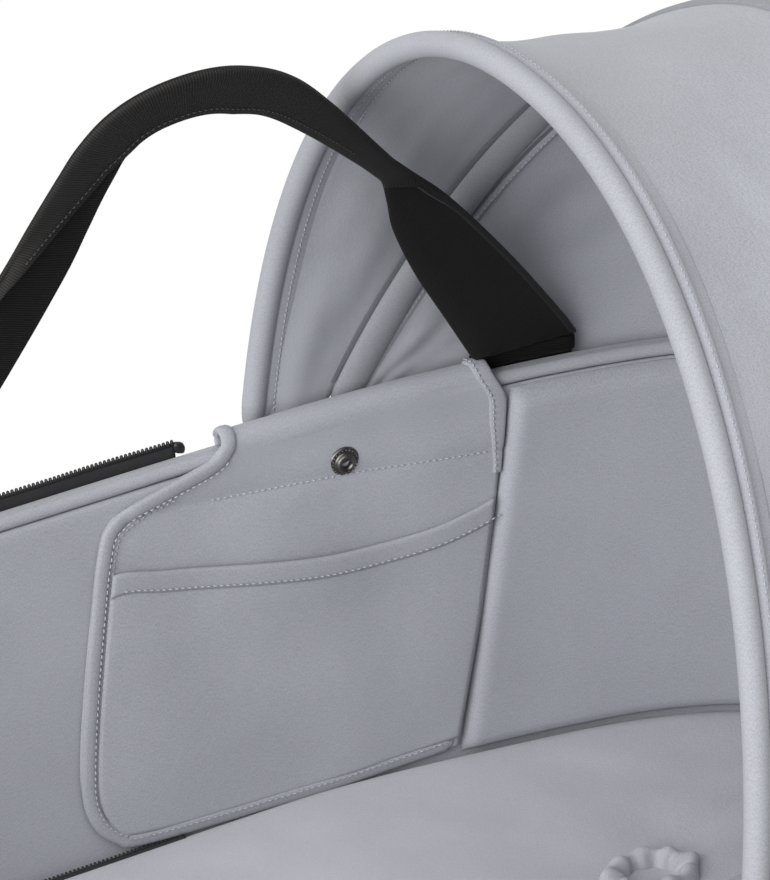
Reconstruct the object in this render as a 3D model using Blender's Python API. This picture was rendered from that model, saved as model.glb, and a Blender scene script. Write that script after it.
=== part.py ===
# Carrycot for a pushchair: padded fabric tub, mattress, folding hood, two carry handles.
# Metres. +X runs to the head end, +Y to the far side, +Z up. The origin is the middle of the
# base tray's underside.

import math

import bmesh
import bpy
import numpy as np

# Tub: the line of the rim piping and how the wall draws in below it
RIM_HEIGHT = 0.240
RIM_HALF_LENGTH = 0.3818
RIM_HALF_WIDTH = 0.1913
RIM_SQUARENESS = 3.2
TAPER_DEPTH = 0.1725
TAPER_LENGTHWAYS = 0.0394
TAPER_ACROSS = 0.0248
RING_STEPS = 64
OUTLINE_SAMPLES = 2880

# Wall layers, from the inside out
FIT_GAP = 0.0003
PIPING_RADIUS = 0.0030
LINER_INSET = 0.0028
LINER_THICKNESS = 0.0038
LINER_FLOOR_THICKNESS = 0.0015
RIM_TUBE_RADIUS = 0.0035
COVER_THICKNESS = 0.0015
BOARD_SPLIT_STEPS = 7

# Base
TRAY_FLOOR = 0.0030
TRAY_LEDGE_HEIGHT = 0.0120
TRAY_LIP_HEIGHT = 0.0200
TRAY_LIP_THICKNESS = 0.0025
TRAY_LEDGE_WIDTH = 0.0250
TRAY_CHAMFER = 0.0020
BASE_BOARD_THICKNESS = 0.0060

# Mattress
MATTRESS_TOP_DEPTH = 0.1725
MATTRESS_CROWN = 0.0100
MATTRESS_SIDE_PULL = 0.0035
MATTRESS_WALL_CLEARANCE = 0.0012
# Side of the mattress: share of its height, times the side pull that it is drawn in
MATTRESS_SIDE_SHARES = (
    (0.00, 3.0), (0.10, 1.0), (0.28, 0.0), (0.52, 1.0), (0.80, 0.0), (0.94, 0.4), (1.00, 1.6),
)
# Top of the mattress: share of the crown, share of the outline's size
MATTRESS_TOP_SHARES = ((0.30, 0.96), (0.72, 0.86), (0.94, 0.74), (1.00, 0.62))
MATTRESS_COVER_THICKNESS = 0.0025
MATTRESS_ZIP_START_REACH = 0.5818
MATTRESS_ZIP_LENGTH = 0.2220
MATTRESS_ZIP_HEIGHT = 0.0044
MATTRESS_ZIP_DEPTH = 0.0020
PULL_REACH = 0.2038
PULL_Y = 0.0212
PULL_RADIUS = 0.0175
PULL_FULLNESS = 0.0052
PULL_GATHERS = 9

# Head-section pad and the zip for the apron
HEAD_PAD_THICKNESS = 0.0075
HEAD_PAD_TOP_REACH = 0.1788
HEAD_PAD_BOTTOM_REACH = 0.2228
HEAD_PAD_ROUNDING = 0.0030
APRON_ZIP_END_REACH = 0.3338
APRON_TAPE_THICKNESS = 0.0010
APRON_TAPE_BELOW = 0.0120
APRON_TAPE_ABOVE = 0.0045
APRON_COIL_RADIUS = 0.0015
ZIP_STOP_LENGTH = 0.0060
ZIP_STOP_THICKNESS = 0.0045

# Pocket flap, hung inside the far wall
FLAP_THICKNESS = 0.0018
FLAP_AIR = 0.0005
FLAP_HINGE_GAP = 0.0009
FLAP_WRAP_INNER_DEPTH = 0.0040
FLAP_ROLL_RISE = 0.0088
FLAP_ROLL_MARGIN = 0.0080
FLAP_BOTTOM_DEPTH = 0.1680
FLAP_SPAN = 0.2250
FLAP_SIDE_MARGIN = 0.0020
FLAP_BINDING_RADIUS = 0.0030
FLAP_ROWS = 12
FLAP_COLUMNS = 6
POCKET_THICKNESS = 0.0014
POCKET_LEFT_DEPTH = 0.0430
POCKET_RIGHT_DEPTH = 0.0575
POCKET_BOTTOM_DEPTH = 0.1580
POCKET_SIDE_INSET = 0.0085
POCKET_HEM_WIDTH = 0.0095
POCKET_HEM_THICKNESS = 0.0022
SNAP_REACH = 0.0830
SNAP_DEPTH = 0.0165
SNAP_RADIUS = 0.00725
SNAP_RING_RADIUS = 0.0046
SNAP_HOLE_RADIUS = 0.0022
SNAP_FLANGE_THICKNESS = 0.0010
SNAP_HEIGHT = 0.0036

# Left edge of the flap: depth down the wall against how far along it lies from the left-most x
FLAP_LEFT_SHARES = (
    (0.000, 0.384), (0.035, 0.330), (0.053, 0.226), (0.078, 0.150), (0.120, 0.118),
    (0.210, 0.088), (0.330, 0.062), (0.540, 0.036), (0.700, 0.010), (0.810, 0.000),
    (0.900, 0.018), (0.960, 0.060), (1.000, 0.120),
)

# Hood bows: each is half a superellipse in a plane that leans back towards the head end
HOOD_PIVOT_REACH = 0.2942
HOOD_PIVOT_DROP = 0.0284
FRONT_BOW_HALF_WIDTH = 0.2126
FRONT_BOW_RISE = 0.2843
FRONT_BOW_LEAN = 6.27
FRONT_BOW_SQUARENESS = 2.13
FRONT_BOW_RADIUS = 0.0040
MID_BOW_SETBACK = 0.0272
MID_BOW_HALF_WIDTH = 0.2068
MID_BOW_RISE = 0.2992
MID_BOW_LEAN = 28.5
MID_BOW_SQUARENESS = 2.08
MID_BOW_RADIUS = 0.0035
SLEEVE_THICKNESS = 0.0012
SLEEVE_FOOT_RISE = 0.0220
BOW_LEAD_STEPS = 4
MID_SLEEVE_SKIP = 2
BOW_SIDES = 8

# Hood hubs, stacked outwards from the wall
HUB_MOUNT_HALF_WIDTH = 0.0180
HUB_MOUNT_HALF_HEIGHT = 0.0160
HUB_BOLT_RADIUS = 0.0030
HUB_BOLT_BORE_CLEARANCE = 0.0003
HUB_EYE_RADIUS = 0.0100
MID_EYE_THICKNESS = 0.0050
FRONT_EYE_THICKNESS = 0.0040
HUB_HEAD_RADIUS = 0.0065
HUB_HEAD_THICKNESS = 0.0030
HUB_CAP_WALL = 0.0022
ROUND_STEPS = 24

# Hood fabric
CANOPY_THICKNESS = 0.0016
FRONT_CANOPY_DIP = 0.0040
FRONT_CANOPY_ROWS = 6
REAR_CANOPY_ROWS = 8
HEM_START_REACH = 0.2468
HEM_SIDE_DROP = 0.0118
HEM_SIDE_CLEARANCE = 0.0012
HEM_HEAD_DROP = 0.0100
HEM_FALL_START_REACH = 0.1198
HEM_FALL_END_REACH = 0.0638
REAR_BULGE_UP_SHARE = 0.72
STRIP_THICKNESS = 0.0015
STRIP_TOP_DEPTH = 0.0030
STRIP_BOTTOM_DEPTH = 0.0130
STRIP_REACH = 0.0638

# Handles: flat webbing legs that fold double at the grip
WEBBING_WIDTH = 0.0380
WEBBING_THICKNESS = 0.0025
GRIP_WIDTH = 0.0190
GRIP_THICKNESS = 0.0050
HANDLE_HALF_SPAN = 0.1800
HANDLE_RISE = 0.2258
HANDLE_MIDDLE_REACH = 0.3248
HANDLE_FOOT_SPACING = 0.3280
HEAD_STRAP_SHIFT = 0.0045
HANDLE_LEAN = 20.0
HANDLE_HINGE_GAP = 0.0009
HANDLE_TUCK_OFFSET = 0.0055
HANDLE_HINGE_RISE = 0.0105
STRAP_BOTTOM_DEPTH = 0.0600
NEAR_STRAP_TOP_DEPTH = 0.0010
NEAR_HANDLE_CLEARANCE = 0.0058
HANDLE_STEPS = 30

# Outer edge of a handle: share of the half span, share of the rise
HANDLE_EDGE_SHARES = (
    (-1.000, 0.000), (-0.805, 0.300), (-0.574, 0.660), (-0.449, 0.829), (-0.388, 0.918),
    (-0.190, 0.997), (-0.050, 0.996), (0.104, 0.935), (0.204, 0.865), (0.306, 0.763),
    (0.394, 0.653), (0.506, 0.558), (0.670, 0.370), (0.808, 0.199), (0.958, 0.000),
)
# Run along a handle, 0 at its middle, against how far the folded webbing has opened
GRIP_OPEN_SHARES = ((-0.530, 1.0), (-0.290, 0.0), (0.420, 0.0), (0.680, 1.0))

# Chassis adapters on both sides
ADAPTER_HALF_LENGTH = 0.0300
ADAPTER_HEIGHT = 0.0650
ADAPTER_GRIP_CLEARANCE = 0.0330
ADAPTER_EDGE = 0.0030
SOCKET_HALF_LENGTH = 0.0170
SOCKET_WIDTH = 0.0120
SOCKET_HEIGHT = 0.0450
SOCKET_WALL = 0.0030
PLUNGER_RISE = 0.0300
PLUNGER_RADIUS = 0.0035
PLUNGER_COLLAR_RADIUS = 0.0058
PLUNGER_COLLAR_THICKNESS = 0.0020
PLUNGER_KNOB_RADIUS = 0.0110
PLUNGER_KNOB_THICKNESS = 0.0080
PLUNGER_REACH = 0.0040
SPRING_CHAMBER_RADIUS = 0.0068
SPRING_CHAMBER_LENGTH = 0.0125
SPRING_WIRE_RADIUS = 0.0005
SPRING_COIL_RADIUS = 0.0050
SPRING_TURNS = 4
SPRING_TURN_POINTS = 9
PLUNGER_CLEARANCE = 0.0003
CUT_OVERRUN = 0.0100

SIDES = (("far", 1.0), ("near", -1.0))

# Places along the tub, from how far they lie from its head end
HOOD_PIVOT_X = RIM_HALF_LENGTH - HOOD_PIVOT_REACH
HEM_START_X = RIM_HALF_LENGTH - HEM_START_REACH
HEM_FALL_START_X = RIM_HALF_LENGTH - HEM_FALL_START_REACH
HEM_FALL_END_X = RIM_HALF_LENGTH - HEM_FALL_END_REACH
STRIP_START_X = RIM_HALF_LENGTH - STRIP_REACH
APRON_ZIP_END_X = RIM_HALF_LENGTH - APRON_ZIP_END_REACH
HEAD_PAD_TOP_X = RIM_HALF_LENGTH - HEAD_PAD_TOP_REACH
HEAD_PAD_BOTTOM_X = RIM_HALF_LENGTH - HEAD_PAD_BOTTOM_REACH
FLAP_LEFT_X = HEAD_PAD_TOP_X - FLAP_SPAN - FLAP_SIDE_MARGIN
SNAP_X = HEAD_PAD_TOP_X - SNAP_REACH
HANDLE_MIDDLE_X = RIM_HALF_LENGTH - HANDLE_MIDDLE_REACH
HANDLE_FOOT_X = HANDLE_MIDDLE_X - HANDLE_FOOT_SPACING / 2
HANDLE_HEAD_X = HANDLE_MIDDLE_X + HANDLE_FOOT_SPACING / 2 - HEAD_STRAP_SHIFT
PULL_X = RIM_HALF_LENGTH - PULL_REACH
MATTRESS_ZIP_START_X = RIM_HALF_LENGTH - MATTRESS_ZIP_START_REACH
MATTRESS_ZIP_END_X = MATTRESS_ZIP_START_X + MATTRESS_ZIP_LENGTH

# The adapters sit inside the loop of a hanging handle
ADAPTER_BOTTOM_HEIGHT = RIM_HEIGHT - HANDLE_RISE + GRIP_WIDTH + ADAPTER_GRIP_CLEARANCE
ADAPTER_TOP_HEIGHT = ADAPTER_BOTTOM_HEIGHT + ADAPTER_HEIGHT
PLUNGER_HEIGHT = ADAPTER_BOTTOM_HEIGHT + PLUNGER_RISE

# Layer offsets from the piping line, outwards positive, and depths below it
LINER_OUTER = LINER_THICKNESS - LINER_INSET
BOARD_INNER = LINER_OUTER + FIT_GAP
BOARD_OUTER = BOARD_INNER + 2 * RIM_TUBE_RADIUS
COVER_INNER = BOARD_OUTER + FIT_GAP
COVER_OUTER = COVER_INNER + COVER_THICKNESS
LIP_INNER = PIPING_RADIUS + FIT_GAP
RIM_TUBE_OFFSET = BOARD_INNER + RIM_TUBE_RADIUS
RIM_TUBE_DEPTH = COVER_THICKNESS + FIT_GAP + RIM_TUBE_RADIUS
BOARD_TOP_DEPTH = RIM_TUBE_DEPTH + RIM_TUBE_RADIUS + FIT_GAP
WALL_FOOT_DEPTH = RIM_HEIGHT - TRAY_LEDGE_HEIGHT - FIT_GAP
BASE_BOARD_TOP = TRAY_LEDGE_HEIGHT + FIT_GAP + BASE_BOARD_THICKNESS
LINER_BOTTOM = BASE_BOARD_TOP + FIT_GAP
MATTRESS_BOTTOM = LINER_BOTTOM + LINER_FLOOR_THICKNESS + FIT_GAP
MATTRESS_EDGE_TOP = RIM_HEIGHT - MATTRESS_TOP_DEPTH
MATTRESS_CROWN_TOP = MATTRESS_EDGE_TOP + MATTRESS_CROWN
TAPE_INNER = COVER_OUTER + FIT_GAP
TAPE_OUTER = TAPE_INNER + APRON_TAPE_THICKNESS
COIL_OFFSET = TAPE_INNER + APRON_TAPE_THICKNESS / 2
COIL_DEPTH = -APRON_TAPE_ABOVE - FIT_GAP - APRON_COIL_RADIUS
HOOD_PIVOT_Z = RIM_HEIGHT - HOOD_PIVOT_DROP
HUB_MOUNT_FACE_Y = MID_BOW_HALF_WIDTH - MID_BOW_RADIUS - FIT_GAP
STRIP_OUTER = COVER_OUTER + FIT_GAP + STRIP_THICKNESS
HEM_SIDE_OFFSET = (COVER_OUTER + FIT_GAP + WEBBING_THICKNESS + HEM_SIDE_CLEARANCE + CANOPY_THICKNESS / 2
                   + HEM_SIDE_DROP * TAPER_ACROSS / TAPER_DEPTH)
HEM_HEAD_OFFSET = (STRIP_OUTER + 2 * FIT_GAP + CANOPY_THICKNESS / 2
                   + HEM_HEAD_DROP * TAPER_LENGTHWAYS / TAPER_DEPTH)
FRONT_SLEEVE_INNER = FRONT_BOW_RADIUS + FIT_GAP
MID_SLEEVE_INNER = MID_BOW_RADIUS + FIT_GAP
FRONT_SLEEVE_OUTER = FRONT_SLEEVE_INNER + SLEEVE_THICKNESS
MID_SLEEVE_OUTER = MID_SLEEVE_INNER + SLEEVE_THICKNESS
FLAP_INNER = -LINER_INSET - FLAP_AIR
POCKET_OUTER = FLAP_INNER - FLAP_THICKNESS - FIT_GAP


def clear_scene():
    for item in list(bpy.data.objects):
        bpy.data.objects.remove(item, do_unlink=True)


def material(name, colour, roughness, metallic=0.0):
    """A plain Principled finish, made once for each name."""
    found = bpy.data.materials.get(name)
    if found:
        return found
    made = bpy.data.materials.new(name)
    made.use_nodes = True
    shader = made.node_tree.nodes["Principled BSDF"]
    shader.inputs["Base Color"].default_value = (*colour, 1.0)
    shader.inputs["Roughness"].default_value = roughness
    shader.inputs["Metallic"].default_value = metallic
    return made


def grey_twill():
    return material("grey_twill", (0.36, 0.36, 0.39), 0.85)


def black_webbing():
    return material("black_webbing", (0.015, 0.015, 0.016), 0.7)


def black_zip():
    return material("black_zip", (0.012, 0.012, 0.013), 0.5)


def gunmetal():
    return material("gunmetal", (0.12, 0.115, 0.11), 0.35, 1.0)


def aluminium():
    return material("aluminium_tube", (0.7, 0.7, 0.72), 0.4, 1.0)


def steel():
    return material("zinc_steel", (0.55, 0.55, 0.56), 0.35, 1.0)


def dark_plastic():
    return material("dark_plastic", (0.03, 0.03, 0.032), 0.55)


def foam():
    return material("white_foam", (0.8, 0.8, 0.76), 0.95)


def board():
    return material("wall_board", (0.6, 0.6, 0.6), 0.8)


def add_solid(name, points, faces, finish, sharp=40.0):
    """An object from points and faces, with its normals turned outwards."""
    mesh = bpy.data.meshes.new(name)
    mesh.from_pydata([tuple(map(float, p)) for p in points], [], faces)
    work = bmesh.new()
    work.from_mesh(mesh)
    bmesh.ops.recalc_face_normals(work, faces=work.faces)
    if work.calc_volume(signed=True) < 0:
        bmesh.ops.reverse_faces(work, faces=work.faces)
    work.to_mesh(mesh)
    work.free()
    mesh.materials.append(finish)
    mesh.shade_smooth()
    mesh.set_sharp_from_angle(angle=math.radians(sharp))
    item = bpy.data.objects.new(name, mesh)
    bpy.context.collection.objects.link(item)
    return item


def split_quad(points, quad):
    """Two triangles; every layer of the wall is cut from high to low going the same way round."""
    a, b, c, d = quad
    upper, lower = (points[a], points[c]) if points[a][2] >= points[c][2] else (points[c], points[a])
    if upper[0] * lower[1] > upper[1] * lower[0]:
        return [[a, b, c], [a, c, d]]
    return [[b, c, d], [b, d, a]]


def loft(sections, around=True, along=False, first_cap=True, last_cap=True):
    """Points and faces of a skin over equal sections; open ends are closed by one face."""
    count = len(sections[0])
    points = [p for section in sections for p in section]
    faces = []
    rows = len(sections)
    for row in range(rows if along else rows - 1):
        below = row * count
        above = ((row + 1) % rows) * count
        for step in range(count if around else count - 1):
            after = (step + 1) % count
            faces.extend(split_quad(points, [below + step, below + after, above + after, above + step]))
    if not along and first_cap:
        faces.append(list(range(count))[::-1])
    if not along and last_cap:
        faces.append([(rows - 1) * count + i for i in range(count)])
    return points, faces


def dense_outline(half_length, half_width):
    """Superellipse |x/a|^m + |y/b|^m = 1 with its running length, as dense samples."""
    turn = np.linspace(0.0, 2 * math.pi, OUTLINE_SAMPLES + 1)
    power = 2 / RIM_SQUARENESS
    x = half_length * np.sign(np.cos(turn)) * np.abs(np.cos(turn)) ** power
    y = half_width * np.sign(np.sin(turn)) * np.abs(np.sin(turn)) ** power
    run = np.concatenate(([0.0], np.cumsum(np.hypot(np.diff(x), np.diff(y)))))
    return x, y, run / run[-1]


def half_sizes(depth):
    """Half length and half width of the piping line carried down the sloping wall."""
    share = depth / TAPER_DEPTH
    return RIM_HALF_LENGTH - TAPER_LENGTHWAYS * share, RIM_HALF_WIDTH - TAPER_ACROSS * share


def wall_points(shares, depth, offset, height=None):
    """Points on the wall at shares of its outline, moved outwards; straight between the ring's steps."""
    half_length, half_width = half_sizes(depth)
    x, y, run = dense_outline(half_length, half_width)
    steps = np.arange(RING_STEPS + 1) / RING_STEPS
    px = np.interp(steps, run, x)
    py = np.interp(steps, run, y)
    power = RIM_SQUARENESS - 1
    nx = np.sign(px) * np.abs(px / half_length) ** power / half_length
    ny = np.sign(py) * np.abs(py / half_width) ** power / half_width
    size = np.hypot(nx, ny)
    shares = np.mod(np.asarray(shares, float), 1.0)
    z = np.full(len(shares), RIM_HEIGHT - depth if height is None else height)
    return np.stack([np.interp(shares, steps, px + offset * nx / size),
                     np.interp(shares, steps, py + offset * ny / size), z], 1)


def share_at_x(x, depth):
    """Share of the outline where its far side reaches x."""
    steps = np.arange(RING_STEPS // 2 + 1) / RING_STEPS
    line = wall_points(steps, depth, 0.0)
    return float(np.interp(-x, -line[:, 0], steps))


def ring_shares():
    return np.arange(RING_STEPS) / RING_STEPS


def shares_between(start, stop):
    """The ring's own steps between two shares, with the two ends added."""
    steps = np.arange(math.ceil(start * RING_STEPS), math.floor(stop * RING_STEPS) + 1) / RING_STEPS
    margin = 0.2 / RING_STEPS
    inside = [s for s in steps if start + margin < s < stop - margin]
    return [start, *inside, stop]


def ring_solid(name, profile, finish, sharp=40.0):
    """A closed ring whose section is a polygon of (depth, offset) corners."""
    sections = [wall_points(ring_shares(), depth, offset) for depth, offset in profile]
    return add_solid(name, *loft(sections, True, True), finish, sharp)


def arc_part(profile, shares):
    """A stretch of ring with flat ends."""
    columns = [wall_points(shares, depth, offset) for depth, offset in profile]
    sections = [[column[i] for column in columns] for i in range(len(shares))]
    return loft(sections)


def circle_profile(depth, offset, radius, sides):
    turns = [2 * math.pi * i / sides for i in range(sides)]
    return [(depth + radius * math.sin(t), offset + radius * math.cos(t)) for t in turns]


def thick_profile(corners, thickness):
    """Polygon of a bent strip: the corners, then the same corners moved to one side."""
    line = np.array(corners, float)
    runs = np.diff(line, axis=0)
    runs /= np.linalg.norm(runs, axis=1)[:, None]
    sides = np.stack([-runs[:, 1], runs[:, 0]], 1)
    moved = []
    for i in range(len(line)):
        before = sides[max(i - 1, 0)]
        after = sides[min(i, len(sides) - 1)]
        middle = before + after
        middle /= 1 + float(before @ after)
        moved.append(line[i] + middle * thickness)
    return [tuple(p) for p in line] + [tuple(p) for p in moved[::-1]]


def smooth_curve(points, count):
    """Even samples of a Catmull-Rom curve through the points."""
    line = np.array(points, float)
    padded = np.vstack([2 * line[0] - line[1], line, 2 * line[-1] - line[-2]])
    samples = []
    steps = np.linspace(0.0, 1.0, OUTLINE_SAMPLES // RING_STEPS, endpoint=False)
    for a, b, c, d in zip(padded[:-3], padded[1:-2], padded[2:-1], padded[3:]):
        for t in steps:
            samples.append(0.5 * (2 * b + (c - a) * t + (2 * a - 5 * b + 4 * c - d) * t ** 2
                                  + (3 * b - a - 3 * c + d) * t ** 3))
    samples.append(line[-1])
    samples = np.array(samples)
    run = np.concatenate(([0.0], np.cumsum(np.linalg.norm(np.diff(samples, axis=0), axis=1))))
    even = np.linspace(0.0, run[-1], count)
    return np.stack([np.interp(even, run, samples[:, i]) for i in range(line.shape[1])], 1)


def path_frames(path):
    """Two unit directions across the path at each point, carried along without twist."""
    tangents = np.gradient(path, axis=0)
    tangents /= np.linalg.norm(tangents, axis=1)[:, None]
    first = []
    side = np.eye(3)[np.argmin(np.abs(tangents[0]))]
    for tangent in tangents:
        side = side - tangent * float(side @ tangent)
        side = side / np.linalg.norm(side)
        first.append(side)
    first = np.array(first)
    return first, np.cross(tangents, first)


def tube_sections(path, radius, sides):
    first, second = path_frames(path)
    turns = np.arange(sides) * 2 * math.pi / sides
    return [p + radius * (np.cos(turns)[:, None] * a + np.sin(turns)[:, None] * b)
            for p, a, b in zip(path, first, second)]


def tube_part(path, radius, sides):
    return loft(tube_sections(path, radius, sides))


def sleeve_part(path, outer, inner, sides, ends):
    """A tube with its bore open, along the path without the given number of points at each end."""
    outside = tube_sections(path, outer, sides)[ends:-ends]
    inside = tube_sections(path, inner, sides)[ends:-ends]
    return loft(outside + inside[::-1], True, True)


def turned_part(profile, centre, outwards, steps=ROUND_STEPS, closed=False):
    """A turned shape about an axis along Y; profile is (radius, distance along the axis)."""
    turns = np.arange(steps) * 2 * math.pi / steps
    sections = []
    for radius, along in profile:
        ring = np.stack([centre[0] + radius * np.cos(turns),
                         np.full(steps, centre[1] + outwards * along),
                         centre[2] + radius * np.sin(turns)], 1)
        sections.append(ring)
    return loft(sections, True, closed)


def block_part(low, high):
    """A box between two corners."""
    corners = [(x, y, z) for z in (low[2], high[2])
               for x, y in ((low[0], low[1]), (high[0], low[1]), (high[0], high[1]), (low[0], high[1]))]
    return loft([corners[:4], corners[4:]])


def shell_part(grid, thickness):
    """A sheet of one thickness over a grid of points, closed all round its edge."""
    grid = np.array(grid)
    down = np.gradient(grid, axis=0)
    along = np.gradient(grid, axis=1)
    normal = np.cross(down, along)
    normal /= np.linalg.norm(normal, axis=2)[:, :, None]
    front = grid + normal * thickness / 2
    back = grid - normal * thickness / 2
    sections = [list(front[i]) + list(back[i][::-1]) for i in range(len(grid))]
    rows, columns = grid.shape[:2]
    points = [p for section in sections for p in section]
    faces = []
    width = 2 * columns
    for row in range(rows - 1):
        for step in range(width):
            after = (step + 1) % width
            faces.append([row * width + step, row * width + after,
                          (row + 1) * width + after, (row + 1) * width + step])
    for row in (0, rows - 1):
        for step in range(columns - 1):
            faces.append([row * width + step, row * width + step + 1,
                          row * width + width - 2 - step, row * width + width - 1 - step])
    return points, faces


def cutter(name, part):
    """A hidden body for a Boolean."""
    item = add_solid(name, *part, board())
    item.hide_render = True
    item.display_type = "WIRE"
    return item


def boolean(item, other, operation):
    change = item.modifiers.new(other.name, "BOOLEAN")
    change.operation = operation
    change.solver = "EXACT"
    change.object = other
    return change


def hang_on(item, parent):
    """Parents an item without moving it."""
    item.parent = parent
    item.matrix_parent_inverse = parent.matrix_world.inverted()


def pivot(name, place):
    item = bpy.data.objects.new(name, None)
    item.location = place
    bpy.context.collection.objects.link(item)
    bpy.context.view_layer.update()
    return item


def make_base():
    """Moulded tray with an inner ledge, and the board that lies on the ledge."""
    lip_inner = COVER_OUTER + FIT_GAP
    lip_outer = lip_inner + TRAY_LIP_THICKNESS
    ledge_inner = lip_inner - TRAY_LEDGE_WIDTH
    corners = [(0.0, lip_outer - TRAY_CHAMFER), (TRAY_CHAMFER, lip_outer), (TRAY_LIP_HEIGHT, lip_outer),
               (TRAY_LIP_HEIGHT, lip_inner), (TRAY_LEDGE_HEIGHT, lip_inner),
               (TRAY_LEDGE_HEIGHT, ledge_inner), (TRAY_FLOOR, ledge_inner)]
    sections = [wall_points(ring_shares(), RIM_HEIGHT - z, offset) for z, offset in corners]
    add_solid("base_tray", *loft(sections), dark_plastic())

    low = TRAY_LEDGE_HEIGHT + FIT_GAP
    sections = [wall_points(ring_shares(), RIM_HEIGHT - low, BOARD_INNER - FIT_GAP, z)
                for z in (low, BASE_BOARD_TOP)]
    add_solid("base_board", *loft(sections), board())


def make_wall():
    """Stiffening boards, the rim tube on top of them, the outer cover, the liner and the piping."""
    split = BOARD_SPLIT_STEPS / RING_STEPS
    spans = (("head_wall_board", -split, split), ("far_wall_board", split, 0.5 - split),
             ("foot_wall_board", 0.5 - split, 0.5 + split), ("near_wall_board", 0.5 + split, 1 - split))
    trim = FIT_GAP / (2 * RIM_HALF_LENGTH)
    profile = [(BOARD_TOP_DEPTH, BOARD_INNER), (BOARD_TOP_DEPTH, BOARD_OUTER),
               (WALL_FOOT_DEPTH, BOARD_OUTER), (WALL_FOOT_DEPTH, BOARD_INNER)]
    for name, start, stop in spans:
        add_solid(name, *arc_part(profile, shares_between(start + trim, stop - trim)), board())

    ring_solid("rim_tube", circle_profile(RIM_TUBE_DEPTH, RIM_TUBE_OFFSET, RIM_TUBE_RADIUS - FIT_GAP / 2, 6),
               aluminium(), 80)
    ring_solid("rim_piping", circle_profile(0.0, 0.0, PIPING_RADIUS, 8), grey_twill(), 80)

    ring_solid("outer_cover", [
        (0.0, LIP_INNER), (0.0, COVER_OUTER), (WALL_FOOT_DEPTH, COVER_OUTER),
        (WALL_FOOT_DEPTH, COVER_INNER), (COVER_THICKNESS, COVER_INNER), (COVER_THICKNESS, LIP_INNER),
    ], grey_twill())

    top = PIPING_RADIUS + FIT_GAP
    floor_top = RIM_HEIGHT - LINER_BOTTOM - LINER_FLOOR_THICKNESS
    corners = [(RIM_HEIGHT - LINER_BOTTOM, LINER_OUTER), (top, LINER_OUTER), (top, -LINER_INSET),
               (floor_top, -LINER_INSET)]
    sections = [wall_points(ring_shares(), depth, offset) for depth, offset in corners]
    add_solid("inner_liner", *loft(sections), grey_twill())


def make_apron_zip():
    """Half of the apron's zip along the outer edge of the rim, round the foot end."""
    start = share_at_x(APRON_ZIP_END_X, 0.0)
    shares = shares_between(start, 1 - start)
    tape = [(-APRON_TAPE_ABOVE, TAPE_INNER), (-APRON_TAPE_ABOVE, TAPE_OUTER),
            (APRON_TAPE_BELOW, TAPE_OUTER), (APRON_TAPE_BELOW, TAPE_INNER)]
    add_solid("apron_zip_tape", *arc_part(tape, shares), black_zip())
    coil = circle_profile(COIL_DEPTH, COIL_OFFSET, APRON_COIL_RADIUS, 6)
    add_solid("apron_zip_coil", *arc_part(coil, shares), black_zip(), 80)

    top = COIL_DEPTH - APRON_COIL_RADIUS
    x = APRON_ZIP_END_X + FIT_GAP
    y = float(wall_points([start], 0.0, COIL_OFFSET)[0][1])
    for side, sign in SIDES:
        across = sorted((sign * (y - ZIP_STOP_THICKNESS / 2), sign * (y + ZIP_STOP_THICKNESS / 2)))
        stop = block_part((x, across[0], RIM_HEIGHT + FIT_GAP),
                          (x + ZIP_STOP_LENGTH, across[1], RIM_HEIGHT - top))
        add_solid("apron_zip_stop_" + side, *stop, black_zip())


def head_pad_shares(depth):
    """Steps round the head end between the two slanted ends of the pad."""
    share = depth / MATTRESS_TOP_DEPTH
    x = HEAD_PAD_TOP_X + (HEAD_PAD_BOTTOM_X - HEAD_PAD_TOP_X) * share
    end = share_at_x(x, depth)
    first = share_at_x(HEAD_PAD_TOP_X, 0.0)
    inside = shares_between(-first, first)[1:-1]
    return [-end, *inside, end]


def make_head_pad():
    """Padded lining of the head section, with soft edges."""
    outer = -LINER_INSET - FIT_GAP
    inner = outer - HEAD_PAD_THICKNESS
    soft = HEAD_PAD_ROUNDING
    top = PIPING_RADIUS + FIT_GAP
    foot = MATTRESS_TOP_DEPTH - soft
    profile = [(top, outer), (top, inner + soft), (top + soft, inner), (foot - soft, inner),
               (foot, inner + soft), (foot, outer)]
    columns = [wall_points(head_pad_shares(depth), depth, offset) for depth, offset in profile]
    sections = [[column[i] for column in columns] for i in range(len(columns[0]))]
    add_solid("head_pad", *loft(sections), grey_twill())


def mattress_ring(height, inset, scale_share=1.0):
    offset = -LINER_INSET - MATTRESS_WALL_CLEARANCE - inset
    ring = wall_points(ring_shares(), RIM_HEIGHT - height, offset)
    return ring * np.array([scale_share, scale_share, 1.0])


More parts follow.
